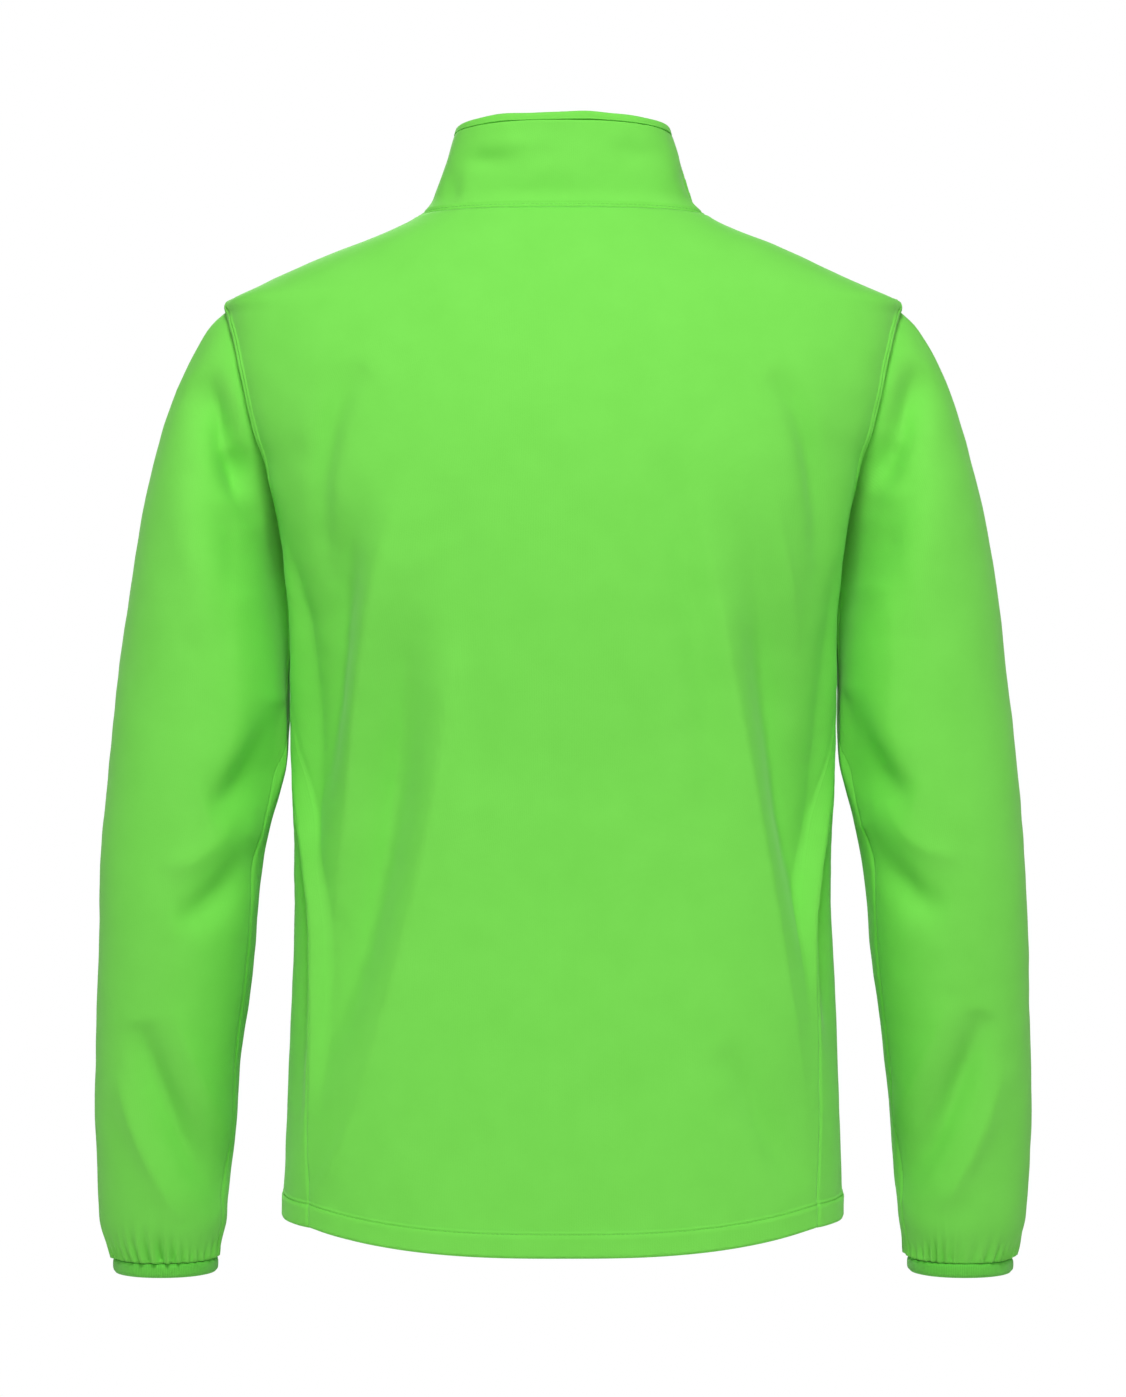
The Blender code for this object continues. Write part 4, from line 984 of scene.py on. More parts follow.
# %% [markdown]
# ## The back and the fronts
#
# The folds and the small unevenness move the smooth face out and in, and the seams shape its
# edges. Only the armhole is stitched down on the body's side, as a flat band. The hem is
# turned up inside, so the wall is thicker there and its edge is a round fold.

# %% Lines of the seams on the body
ARMHOLE_TURNS = np.linspace(0, math.pi, 200)
ARMHOLE_REAR = body_point(*armhole_line(ARMHOLE_TURNS, 1))
ARMHOLE_FORE = body_point(*armhole_line(ARMHOLE_TURNS, -1))
print("armhole seam behind:", line_length(ARMHOLE_REAR), "m")

# %% How the cloth of the body lies
ARMHOLE_BAND = 0.0068
UNEVEN = 0.0007
BODY_WAVE = 0.110
FOLDS_FADE = 0.020
BAND_PROUD = 0.0014
FINE_UNEVEN = 0.00022
FINE_WAVE = 0.030
FULLNESS = 0.0030
FULLNESS_HEIGHTS = (-0.066, -0.115)


def body_lift(points, normals, armhole, shoulder, side, neck, seed):
    """How far the folds, the unevenness and the seams lift each point of a body panel."""
    behind, before = back_and_front(normals)
    lift = (fold_heights(points, BACK_FOLDS) + step_heights(points, BACK_STEPS)) * behind
    lift += (fold_heights(points, FRONT_FOLDS) + step_heights(points, FRONT_STEPS)) * before
    at_armhole = distance_to(points, armhole)
    at_seams = np.minimum(distance_to(points, shoulder), distance_to(points, side))
    at_neck = distance_to(points, neck)
    nearest = np.minimum(np.minimum(at_armhole, at_seams), at_neck)
    lift *= smooth_step(0.0, FOLDS_FADE, nearest + 0.004)
    lift += UNEVEN * ripple(points, BODY_WAVE, seed) * smooth_step(0, 0.03, nearest)
    lift += FINE_UNEVEN * ripple(points, FINE_WAVE, seed + 1) * smooth_step(0, 0.006, nearest)
    lift += pucker(points, nearest, seed + 2)
    full = smooth_step(0.0, 0.004, at_armhole) * (1 - smooth_step(0.012, 0.045, at_armhole))
    full *= smooth_step(*FULLNESS_HEIGHTS, points[..., 2])
    lift += FULLNESS * full * behind
    lift += roll_in(at_seams) + roll_in(at_neck)
    lift += roll_in(at_armhole, 0.0007, 0.0009)
    lift += stitched_band(at_armhole, ARMHOLE_BAND, BAND_PROUD)
    return lift


# %% A body panel, with its turned-up hem
HEM_STITCH_INSET = 0.0008
HEM_INWARDS = 0.0012
HEM_WAVES = 0.0004
HEM_BULGE = 0.0020


def body_panel(name, points, lines, seed, node):
    normals = grid_normals(points)
    lift = body_lift(points, normals, *lines, seed)
    face = drawn_back(points + normals * lift[..., None], normals)
    above = np.linalg.norm(points - points[-1], axis=-1)
    in_hem = 1 - smooth_step(HEM_DEPTH - 0.0006, HEM_DEPTH + 0.0012, above)
    trough = groove(above, HEM_DEPTH - HEM_STITCH_INSET, 0.0011, 0.0008)
    waves = HEM_WAVES * ripple(points, 0.020, seed + 5) * bell(above - HEM_DEPTH, 0.006)
    outer = face + normals * (HEM_PROUD * in_hem + trough + waves)[..., None]
    inner = face - normals * (CLOTH + HEM_INWARDS * in_hem)[..., None]
    at_bottom = border(*points.shape[:2])[:, 0] == points.shape[0] - 1
    rim = np.where(at_bottom, HEM_BULGE, FLAT_RIM)
    piece = add_wall(name, outer, inner, (SOFTSHELL, FLEECE), (rim,))
    return finished(piece, "jacket", (node,)), outer


# %% Make the three body panels
def panel_lines(points, armhole, outer_column):
    """The armhole, shoulder, side and neck seams of a panel with one outer edge."""
    shoulder = points[:SHOULDER_ROWS + 1, outer_column]
    side = points[SHOULDER_ROWS + ARMHOLE_ROWS:, outer_column]
    return armhole, shoulder, side, points[0]


def both_sides(line):
    """A line and its mirror image, joined by a far jump that leads away from every panel."""
    far = np.array([[9.0, 9.0, 9.0], [-9.0, 9.0, 9.0]])
    return np.concatenate([line, line[-1:] + [[9.0, 0.0, 0.0]], far, line * FLIP])


BACK_LINES = tuple(both_sides(line) for line in panel_lines(BACK, ARMHOLE_REAR, 0)[:3])
BACK_PIECE, BACK_FACE = body_panel("back_cloth", BACK, (*BACK_LINES, BACK[0]), 11, "back")
FRONT_R = mirrored(FRONT_L)
FRONT_L_PIECE, FRONT_L_FACE = body_panel(
    "front_cloth_l", FRONT_L, panel_lines(FRONT_L, ARMHOLE_FORE, -1), 21, "front_l")
FRONT_R_PIECE, FRONT_R_FACE = body_panel(
    "front_cloth_r", FRONT_R, panel_lines(FRONT_R, ARMHOLE_FORE * FLIP, 0), 31, "front_r")

# %% [markdown]
# ## The sleeves
#
# Each sleeve is an upper and a narrow under panel. At the armhole the sleeve is sewn under the
# body's band, so it rolls in there. Just above the cuff, the elastic gathers the cloth into
# short uneven pleats.

# %% The gathers above the cuff
GATHERS = 17
GATHER_DEPTH = 0.0075
GATHER_REACH = 0.013


def gathers(turn, z, seed):
    """Short pleats round the wrist, uneven in width and depth."""
    random = np.random.default_rng(seed)
    wobble = sum(random.uniform(0.1, 0.35) * np.sin(k * turn + random.uniform(0, 6.28))
                 for k in (1, 2, 3, 5))
    wave = np.cos(GATHERS * turn + 2.2 * wobble)
    pleat = 1 - 2 * (1 - np.abs(wave)) ** 0.7
    depth = 0.75 + 0.25 * np.sin(2 * turn + random.uniform(0, 6.28)) + 0.25 * np.sin(5 * turn)
    above = z - CUFF_TOP_Z
    reach = GATHER_REACH * (1 + 0.45 * np.sin(3 * turn + random.uniform(0, 6.28)))
    return GATHER_DEPTH / 2 * pleat * depth * bell(above, reach)


# %% How the cloth of a sleeve lies
SLEEVE_SHIFT = np.array([0.003, 0.0, -0.007])
SLEEVE_WAVE = 0.090
TUCK_WIDTH = 0.040
TUCK_DEPTH = 0.033
TUCK_BEHIND = (-0.006, 0.034)
TUCK_TOP = (-0.135, -0.195)
TUCK_FOOT = (-0.360, -0.450)
ARMHOLE_SINK = 0.0022


def sleeve_lift(points, normals, turn, side, seed):
    """The left sleeve's folds serve the right one too, mirrored and shifted a little."""
    placed = points * np.array([side, 1, 1]) + SLEEVE_SHIFT * (side < 0)
    behind, before = back_and_front(normals)
    lift = fold_heights(placed, SLEEVE_BACK_FOLDS) * behind
    lift += fold_heights(placed, SLEEVE_FRONT_FOLDS) * before
    at_armhole = distance_to(points, points[0])
    at_seams = np.minimum(*[distance_to(points, points[:, k]) for k in seam_columns(turn, side)])
    lift *= smooth_step(0.0, 0.030, at_armhole)
    lift += UNEVEN * ripple(points, SLEEVE_WAVE, seed) * smooth_step(0, 0.03, at_armhole)
    lift += 0.0002 * ripple(points, 0.028, seed + 1)
    lift += gathers(turn, points[..., 2], seed + 3)
    lift *= smooth_step(0.0, 0.0022, points[..., 2] - CUFF_TOP_Z)
    lift += pucker(points, np.minimum(at_armhole, at_seams), seed + 2)
    lift += roll_in(at_armhole, 0.0010, 0.0016) + roll_in(at_seams)
    lift -= ARMHOLE_SINK * bell(at_armhole, 0.010) * (1 - bell(at_armhole, 0.0015))
    return lift


def tucked(points):
    """The rear of the sleeve beside the body drawn forwards, where the arm presses it in."""
    x, y, z = np.abs(points[..., 0]), points[..., 1], points[..., 2]
    share = np.clip((INNER_X(z) + TUCK_WIDTH - x) / TUCK_WIDTH, 0, 1) ** 1.6
    share *= smooth_step(*TUCK_BEHIND, y - MIDDLE_Y(z))
    share *= smooth_step(*TUCK_TOP, z) * (1 - smooth_step(*TUCK_FOOT, z))
    moved = points.copy()
    moved[..., 1] -= TUCK_DEPTH * share
    return moved


def seam_columns(turn, side):
    """The columns of the two lengthwise seams, in a sleeve's grid."""
    turns = UNDER_SLEEVE_TURNS if side > 0 else [2 * math.pi - t for t in UNDER_SLEEVE_TURNS[::-1]]
    return [int(np.abs(turn - s).argmin()) for s in turns]


# %% Make the sleeves
def make_sleeve(tag, side, points, turn, seed):
    normals = grid_normals(points, True)
    lift = sleeve_lift(points, normals, turn, side, seed)
    first, last = seam_columns(turn, side)
    count = len(turn)
    under = np.arange(first, last + 1)
    upper = np.arange(last, first + count + 1) % count
    made = {}
    for part, chosen in (("upper", upper), ("under", under)):
        face = tucked(points[:, chosen] + normals[:, chosen] * lift[:, chosen, None])
        face = drawn_back(face, normals[:, chosen])
        inner = face - normals[:, chosen] * CLOTH
        piece = add_wall(f"sleeve_{part}_cloth_{tag}", face, inner, (SOFTSHELL, FLEECE))
        made[part] = (finished(piece, "jacket", (f"sleeve_{part}_{tag}",)), face)
    return made, normals


SLEEVE_R = mirrored(SLEEVE)
TURNS_R = 2 * math.pi - TURNS[::-1]
LEFT_SLEEVE, LEFT_NORMALS = make_sleeve("l", 1, SLEEVE, TURNS, 41)
RIGHT_SLEEVE, RIGHT_NORMALS = make_sleeve("r", -1, SLEEVE_R, TURNS_R, 61)

# %% [markdown]
# ## The cuffs
#
# A narrow elastic tape binds the sleeve's end. It is a little proud of the cloth, rounded at
# both edges, and its surface ripples where the stretched tape has drawn up. It takes its places
# from the sleeve's last row, so it fits without being moved there.

# %% Make the cuffs
CUFF_ROWS = 13
CUFF_WALL = 0.0030
CUFF_PROUD = 0.0009
CUFF_SWELL = 0.0004
CUFF_WAVES = 0.0004


def make_cuff(tag, points, normals, turn, seed):
    seam = points[-1] * LEVEL
    out = unit(normals[-1] * LEVEL)
    top, bottom = CUFF_TOP_Z - SEAM_GAP, CUFF_BOTTOM_Z
    rows = []
    for share in np.linspace(0, 1, CUFF_ROWS):
        z = top + (bottom - top) * share
        round_off = 1 - (2 * share - 1) ** 6
        swell = CUFF_PROUD * round_off + CUFF_SWELL * math.sin(math.pi * share)
        place = np.stack([turn * 0.04, 0 * turn, 0 * turn + z * 0.2], axis=-1)
        waves = CUFF_WAVES * ripple(place, 0.02, seed) * round_off
        rows.append(seam + np.array([0, 0, z]) + out * (swell + waves)[..., None])
    outer = np.array(rows)
    piece = add_wall(f"cuff_binding_{tag}", outer, outer - out * CUFF_WALL, (BINDING, BINDING),
                     (FLAT_RIM, CUFF_PROUD), closed=True)
    return finished(piece, "jacket", (f"cuff_{tag}",)), outer


CUFF_L, CUFF_FACE_L = make_cuff("l", SLEEVE, LEFT_NORMALS, TURNS, 81)
CUFF_R, CUFF_FACE_R = make_cuff("r", SLEEVE_R, RIGHT_NORMALS, TURNS_R, 91)

# %% [markdown]
# ## The collar
#
# The outer ply stops 5 mm below the top, where the inner ply rolls over it. The collar stands by
# itself, so it has a few shallow dents. The outer ply is a wall like the panels. The inner one
# doubles back on itself, which a wall can't do, so its section is swept round the neck.

# %% The collar's dents and its outer ply
COLLAR_HEIGHTS = np.concatenate([np.linspace(COLLAR_LIP, 0.86, 6)[:-1],
                                 np.linspace(0.86, 0.1, 26)[:-1], np.linspace(0.1, 0.0, 9)])
COLLAR_HEIGHT = 0.062
COLLAR_STITCHES = 0.0030
DENT_SCALE = 1.9
# x, z, height, width and length of each dent or bump behind
COLLAR_DENTS = (
    (0.052, 0.030, -0.0016, 0.014, 0.007),
    (0.075, 0.012, -0.0012, 0.007, 0.014),
    (0.030, 0.040, 0.0010, 0.018, 0.007),
    (-0.085, 0.020, -0.0014, 0.008, 0.016),
    (-0.050, 0.035, -0.0010, 0.016, 0.008),
    (0.005, 0.022, 0.0008, 0.024, 0.012),
)


def collar_rows(heights):
    """The collar's rows at these shares of its height, and their normals."""
    points = np.array([collar_point(NECK, COLLAR_SHARE, h) for h in heights])
    above = np.array([collar_point(NECK, COLLAR_SHARE, h + 0.01) for h in heights])
    below = np.array([collar_point(NECK, COLLAR_SHARE, max(h - 0.01, 0)) for h in heights])
    return points, unit(np.cross(below - above, np.gradient(points, axis=1)))


def collar_lift(points, heights):
    """A gentle unevenness all round, and the dents behind, fading out at both edges."""
    lift = 0.0005 * ripple(points, 0.045, 101) + 0.0002 * ripple(points, 0.018, 102)
    for x, z, peak, wide, tall in COLLAR_DENTS:
        dent = bell(points[..., 0] - x, wide) * bell(points[..., 2] - z, tall)
        lift += DENT_SCALE * peak * dent * (points[..., 1] > 0)
    share = np.asarray(heights)[:, None]
    return lift * smooth_step(0, 0.010, share * COLLAR_HEIGHT) * smooth_step(0, 0.06, 0.97 - share)


def make_collar():
    points, normals = collar_rows(COLLAR_HEIGHTS)
    at_base = np.linalg.norm(points - points[-1], axis=-1)
    at_lip = np.linalg.norm(points - points[0], axis=-1)
    lift = collar_lift(points, COLLAR_HEIGHTS)
    lift += roll_in(at_base, 0.0013, 0.0010) + roll_in(at_lip, 0.0002, 0.0009)
    lift += groove(at_base, COLLAR_STITCHES, 0.0016, 0.0008)
    face = drawn_back(points + normals * lift[..., None], normals)
    piece = add_wall("collar_cloth", face, face - normals * COLLAR_PLY, (SOFTSHELL, FLEECE))
    return finished(piece, "jacket", ("collar",)), face


COLLAR_PIECE, COLLAR_FACE = make_collar()


# %% The inner ply, which rolls over the collar's top
def collar_inner_section():
    """Points of (height, depth): down the near face, up the inner one, and over the top."""
    lip = COLLAR_LIP + 0.005
    near = COLLAR_PLY + SEAM_GAP
    deep = near + COLLAR_PLY
    middle = deep / 2
    section = [(height, near) for height in np.linspace(lip, 0.08, 26)]
    section += [(0.05, near + 0.0004), (0.045, (near + deep) / 2), (0.05, deep - 0.0004)]
    section += [(height, deep) for height in np.linspace(0.08, 0.955, 26)]
    for turn in np.linspace(0, math.pi, 9)[1:-1]:
        depth = middle + (middle + 0.0002) * math.cos(turn)
        section.append((0.965 + 0.035 * math.sin(turn), depth))
    return section + [(0.955, -0.0002), (0.935, -0.0001), (lip + 0.004, -0.0001), (lip, 0.0004)]


def collar_inner_tube():
    """The section at each place round the collar, drawn back a little from the zip."""
    rows = []
    for height, depth in collar_inner_section():
        points, normals = collar_rows((height,))
        lift = collar_lift(points, (min(height, 0.95),)) * (height < 0.9)
        top = 0.0005 * ripple(points * LEVEL, 0.035, 111) * smooth_step(0.85, 1.0, height)
        row = points[0] - normals[0] * (depth - lift[0])[:, None]
        rows.append(row + np.array([0, 0, 1]) * top[0][:, None])
    tube = np.array(rows).transpose(1, 0, 2)
    tube[0] += (SEAM_GAP / 2, 0, 0)
    tube[-1] -= (SEAM_GAP / 2, 0, 0)
    return tube


# %% Sweep it round the neck
def add_tube(name, sections, materials):
    """A closed tube through sections, capped at both ends."""
    index = np.arange(sections.shape[0] * sections.shape[1]).reshape(sections.shape[:2])
    right = np.roll(index, -1, axis=1)
    a, b, c, d = index[1:], right[1:], right[:-1], index[:-1]
    faces = np.stack([a, b, c, d], axis=-1).reshape(-1, 4).tolist()
    faces += [index[0].tolist(), index[-1][::-1].tolist()]
    uvs = uv_metres(sections).reshape(-1, 2)
    piece = add_mesh(name, sections.reshape(-1, 3), faces, uvs, materials)
    shape = bmesh.new()
    shape.from_mesh(piece.data)
    bmesh.ops.recalc_face_normals(shape, faces=shape.faces)
    shape.to_mesh(piece.data)
    shape.free()
    piece.data.set_sharp_from_angle(angle=math.radians(60))
    return piece


COLLAR_INNER = add_tube("collar_inner_cloth", collar_inner_tube(), (SOFTSHELL,))
finished(COLLAR_INNER, "jacket", ("collar_facing",))

# %% [markdown]
# ## The zip
#
# A coil zip closes the front, from just above the hem to the top of the collar. Its two tapes are
# sewn behind the fronts' edges, so only the coil shows between them. Its line is found first, and
# a tape is a flat ribbon swept along it, with a thicker cord where the coil is woven on.

# %% The zip's sizes
TAPE_INNER_X = 0.0032
TAPE_OUTER_X = 0.0130
TAPE_BOW = 0.0030
TAPE_THICKNESS = 0.0010
TAPE_DEPTH_BODY = CLOTH + 3 * SEAM_GAP
TAPE_DEPTH_COLLAR = 2 * COLLAR_PLY + 6 * SEAM_GAP
ZIP_STEPS = 20
ZIP_END_ABOVE_HEM = 0.004
ZIP_BEHIND_COLLAR_Z = (-0.096, -0.082)
SLIDER_BELOW_TOP = 0.0095
TOOTH_PITCH = 0.0013


# %% The zip's line: the middle of the front, up to the collar's top
def zip_path():
    bottom = HEM_SIDE_Z + HEM_FRONT_RISE + ZIP_END_ABOVE_HEM
    z = np.linspace(bottom, NECK_Z - NECK_FRONT_DROP, 60)
    body = body_point(np.full_like(z, -math.pi / 2), z)
    rise = np.linspace(0, 0.98, 20)[1:]
    collar = np.array([collar_point(NECK[:1], np.zeros(1), h)[0] for h in rise])
    path = np.concatenate([body, collar])
    path[:, 0] = 0
    length = np.concatenate([[0], np.cumsum(np.linalg.norm(np.diff(path, axis=0), axis=1))])
    even = np.linspace(0, length[-1], 4 * ZIP_STEPS + 1)
    path = np.stack([np.interp(even, length, path[:, i]) for i in range(3)], axis=-1)
    path[1:-1] = (path[:-2] + 2 * path[1:-1] + path[2:]) / 4
    along = unit(np.gradient(path, axis=0))
    return path, np.stack([along[:, 0], -along[:, 2], along[:, 1]], axis=-1)


ZIP_PATH, ZIP_NORMALS = zip_path()
IN_COLLAR = smooth_step(*ZIP_BEHIND_COLLAR_Z, ZIP_PATH[:, 2])
TAPE_DEPTH = TAPE_DEPTH_BODY + (TAPE_DEPTH_COLLAR - TAPE_DEPTH_BODY) * IN_COLLAR
ZIP_STEP = float(np.linalg.norm(ZIP_PATH[-1] - ZIP_PATH[-2]))
SLIDER_AT = int(len(ZIP_PATH) - 1 - round(SLIDER_BELOW_TOP / ZIP_STEP))
print("zip:", line_length(ZIP_PATH), "m")


# %% The tapes
# How far across from the coil, and how far below the fronts
TAPE_SECTION = (
    (0.0000, 0.0003), (0.0004, 0.0), (0.0016, 0.0), (0.0022, 0.0002), (0.0060, 0.0002),
    (0.0094, 0.0002), (0.0098, 0.0005), (0.0094, 0.0008), (0.0060, 0.0008), (0.0022, 0.0008),
    (0.0016, 0.0010), (0.0004, 0.0010), (0.0000, 0.0007),
)


def make_tape(tag, side):
    """A ribbon swept along the zip, which bows inwards in the collar."""
    sections = []
    for point, normal, depth, curl in zip(ZIP_PATH, ZIP_NORMALS, TAPE_DEPTH, IN_COLLAR):
        ring = []
        for across, below in TAPE_SECTION:
            bow = TAPE_BOW * curl * across / (TAPE_OUTER_X - TAPE_INNER_X)
            x = side * (TAPE_INNER_X + across)
            ring.append(point - normal * (depth + below + bow) + np.array([x, 0, 0]))
        sections.append(ring)
    piece = add_tube(f"zip_tape_cloth_{tag}", np.array(sections), (TAPE,))
    finished(piece, "jacket", (f"zip_tape_{tag}",))
    return piece


TAPE_L = make_tape("l", 1)
TAPE_R = make_tape("r", -1)

# %% [markdown]
# ## Things in rows
#
# The coil's teeth and the stitches are each one small shape, repeated at an even step along a
# line. A loop could place them, but Geometry Nodes make many copies faster and keep the recipe
# open to change: they take the line, cut it into equal steps, and put the shape at each, turned
# to lie along it.

# %% A node tree that sets a shape in a row along a line
# The random value's sockets for plain numbers, which share their names with others
SIZE_MIN, SIZE_MAX, SIZE_OUT = 2, 3, 1


def row_tree():
    tree = bpy.data.node_groups.new("row_along_a_line", "GeometryNodeTree")
    for name, kind in (("Line", "Geometry"), ("Shape", "Object"), ("Step", "Float"),
                       ("Size Spread", "Float"), ("Material", "Material")):
        tree.interface.new_socket(name, in_out="INPUT", socket_type="NodeSocket" + kind)
    tree.interface.new_socket("Row", in_out="OUTPUT", socket_type="NodeSocketGeometry")
    given = add_node(tree, "NodeGroupInput")
    curve = add_node(tree, "GeometryNodeMeshToCurve")
    steps = add_node(tree, "GeometryNodeResampleCurve")
    steps.mode = "LENGTH"
    shape = add_node(tree, "GeometryNodeObjectInfo")
    along = add_node(tree, "GeometryNodeInputTangent")
    turn = add_node(tree, "FunctionNodeAlignRotationToVector")
    turn.axis = "Z"
    smallest = add_node(tree, "ShaderNodeMath")
    smallest.operation = "SUBTRACT"
    smallest.inputs[0].default_value = 1.0
    size = add_node(tree, "FunctionNodeRandomValue", Seed=7)
    size.inputs[SIZE_MAX].default_value = 1.0
    place = add_node(tree, "GeometryNodeInstanceOnPoints")
    real = add_node(tree, "GeometryNodeRealizeInstances")
    paint = add_node(tree, "GeometryNodeSetMaterial")
    result = add_node(tree, "NodeGroupOutput")
    for wire in (
        (given, "Line", curve, "Mesh"),
        (curve, "Curve", steps, "Curve"),
        (given, "Step", steps, "Length"),
        (given, "Shape", shape, "Object"),
        (steps, "Curve", place, "Points"),
        (shape, "Geometry", place, "Instance"),
        (along, "Tangent", turn, "Vector"),
        (turn, "Rotation", place, "Rotation"),
        (given, "Size Spread", smallest, 1),
        (smallest, "Value", size, SIZE_MIN),
        (size, SIZE_OUT, place, "Scale"),
        (place, "Instances", real, "Geometry"),
        (real, "Geometry", paint, "Geometry"),
        (given, "Material", paint, "Material"),
        (paint, "Geometry", result, "Row"),
    ):
        link(tree, *wire)
    return tree


ROW_TREE = row_tree()
print("row tree nodes:", len(ROW_TREE.nodes))


# %% Make a row, as a plain mesh
def line_object(name, lines):
    """Several lines of points as one object of edges."""
    edges, start = [], 0
    for line in lines:
        edges += [(start + i, start + i + 1) for i in range(len(line) - 1)]
        start += len(line)
    mesh = bpy.data.meshes.new(name)
    mesh.from_pydata(np.concatenate(lines).tolist(), edges, [])
    return add_object(name, mesh)


def make_rows(name, lines, shape, step, spread, material):
    """The shape in rows along the lines, as one plain mesh, and the shape itself removed."""
    holder = line_object(name + "_lines", lines)
    modifier = holder.modifiers.new("row", "NODES")
    modifier.node_group = ROW_TREE
    sockets = {item.name: item.identifier for item in ROW_TREE.interface.items_tree
               if item.in_out == "INPUT"}
    for socket, value in (("Shape", shape), ("Step", step), ("Size Spread", spread),
                          ("Material", material)):
        modifier[sockets[socket]] = value
    holder.update_tag()
    bpy.context.view_layer.update()
    evaluated = holder.evaluated_get(bpy.context.evaluated_depsgraph_get())
    mesh = bpy.data.meshes.new_from_object(evaluated)
    mesh.name = name
    bpy.data.objects.remove(holder)
    bpy.data.objects.remove(shape)
    mesh.shade_smooth()
    mesh.set_sharp_from_angle(angle=math.radians(50))
    print(name, "faces:", len(mesh.polygons))
    return add_object(name, mesh)


# %% The coil: two rows of loops that interlock
# Half the width, half the depth, and x, of each ring of one loop
TOOTH_RINGS = (
    (0.00030, 0.00060, 0.0027),
    (0.00045, 0.00080, 0.0024),
    (0.00045, 0.00080, 0.0004),
    (0.00052, 0.00086, -0.0003),
    (0.00035, 0.00060, -0.0009),
)
TOOTH_SHIFTS = ((1, 0.55), (-1, 1.05))


def coil_tooth(side):
    """One loop of the coil: a short rod across, with a wider head at its inner end."""
    angles = np.radians(np.arange(0, 360, 60))
    sections = [np.stack([np.full(6, side * x), deep * np.sin(angles), wide * np.cos(angles)],
                         axis=-1) for wide, deep, x in TOOTH_RINGS]
    return add_tube("coil_tooth", np.array(sections), ())


def joined(name, pieces):
    """One piece made of several."""
    shape = bmesh.new()
    for piece in pieces:
        shape.from_mesh(piece.data)
    whole = pieces[0].data
    shape.to_mesh(whole)
    shape.free()
    for piece in pieces[1:]:
        bpy.data.objects.remove(piece)
    pieces[0].name = name
    return pieces[0]


def make_coil():
    middle = TAPE_DEPTH + TAPE_THICKNESS / 2
    line = (ZIP_PATH - ZIP_NORMALS * middle[:, None])[:SLIDER_AT + 1]
    step = unit(line[1] - line[0]) * TOOTH_PITCH
    rows = [make_rows("coil_row", [line[:-1] + step * shift], coil_tooth(side), TOOTH_PITCH,
                      0.0, COIL) for side, shift in TOOTH_SHIFTS]
    return joined("zip_coil", rows)


finished(make_coil(), "jacket", ("zip_chain",))

# %% [markdown]
# ## The slider and its pull tab
#
# Both are small zinc castings. The solids already have their plates, post, bridge and window, so
# modelling them again would gain nothing: the pieces are copies of them with merged corners and
# rounded edges. The tab turns in the bridge.

# %% Rounded copies of the two castings
SHARP_CORNER = math.radians(25)


def rounded_copy(node, name, radius):
    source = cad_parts[node]
    mesh = source.data.copy()
    mesh.transform(source.matrix_world)
    mesh.name = name
    mesh.materials.clear()
    mesh.materials.append(METAL)
    shape = bmesh.new()
    shape.from_mesh(mesh)
    bmesh.ops.remove_doubles(shape, verts=shape.verts, dist=1e-6)
    bmesh.ops.dissolve_limit(shape, angle_limit=math.radians(1), verts=shape.verts,
                             edges=shape.edges)
    corners = [e for e in shape.edges if e.is_manifold and e.calc_face_angle() > SHARP_CORNER]
    bmesh.ops.bevel(shape, geom=corners, offset=radius, segments=2, profile=0.6, affect="EDGES",
                    clamp_overlap=True)
    bmesh.ops.recalc_face_normals(shape, faces=shape.faces)
    shape.to_mesh(mesh)
    shape.free()
    mesh.shade_smooth()
    mesh.set_sharp_from_angle(angle=math.radians(35))
    return add_object(name, mesh)


finished(rounded_copy("zip_slider", "slider_casting", 0.00025), "jacket",
         ("zip_slider",))
finished(rounded_copy("zip_pull", "pull_casting", 0.00030), "zip_pull",
         ("zip_pull",))

# %% [markdown]
# ## Topstitching
#
# Rows of stitches hold the armholes' bands, the hem, the collar's base and the fronts' edges. The
# thread matches the cloth. Each row starts as a line on the smooth surface, is laid on the folded
# cloth by looking straight down on it, and sinks half its thickness in.

# %% Lay lines on the cloth
ROWS_NEAR = 60
LOOK_FROM = 0.02
ABOVE_FACE = 0.0001
ARMHOLE_STITCHED = slice(3, -14)


def laid_on(piece, points, normals):
    """The points moved along their normals on to the cloth's outer face."""
    tree = BVHTree.FromPolygons([v.co for v in piece.data.vertices],
                                [tuple(p.vertices) for p in piece.data.polygons])
    placed = []
    for point, normal in zip(points, normals):
        start = Vector(point + normal * LOOK_FROM)
        hit = tree.ray_cast(start, -Vector(normal), 2 * LOOK_FROM)[0]
        if hit is not None:
            placed.append(np.array(hit) + normal * ABOVE_FACE)
    return np.array(placed)


def at_distance(points, normals, away):
    """In each column of a grid, the point this far from its last row, and the normal there."""
    gap = np.linalg.norm(points - points[-1], axis=-1)
    place, direction = [], []
    for k in range(points.shape[1]):
        row = np.interp(away, gap[::-1, k][:ROWS_NEAR], np.arange(len(gap))[::-1][:ROWS_NEAR])
        low = int(row)
        share = row - low
        place.append(points[low, k] * (1 - share) + points[low + 1, k] * share)
        direction.append(normals[low, k])
    return np.array(place), np.array(direction)


def beside_armhole(facing, away):
    """The line this far inside an armhole seam, on the body, with its normals."""
    step = 1e-3
    turn = ARMHOLE_TURNS[ARMHOLE_STITCHED]
    angle, z = armhole_line(turn, facing)
    here = body_point(angle, z)
    tangent = np.gradient(here, axis=0)
    normal = unit(np.cross(body_point(angle, z - step) - body_point(angle, z + step),
                           body_point(angle + step, z) - body_point(angle - step, z)))
    normal *= np.sign((normal * LEVEL * here).sum(axis=-1, keepdims=True))
    inward = unit(np.cross(normal, tangent))
    inward *= -np.sign(inward[:, :1])
    return here + inward * away, normal


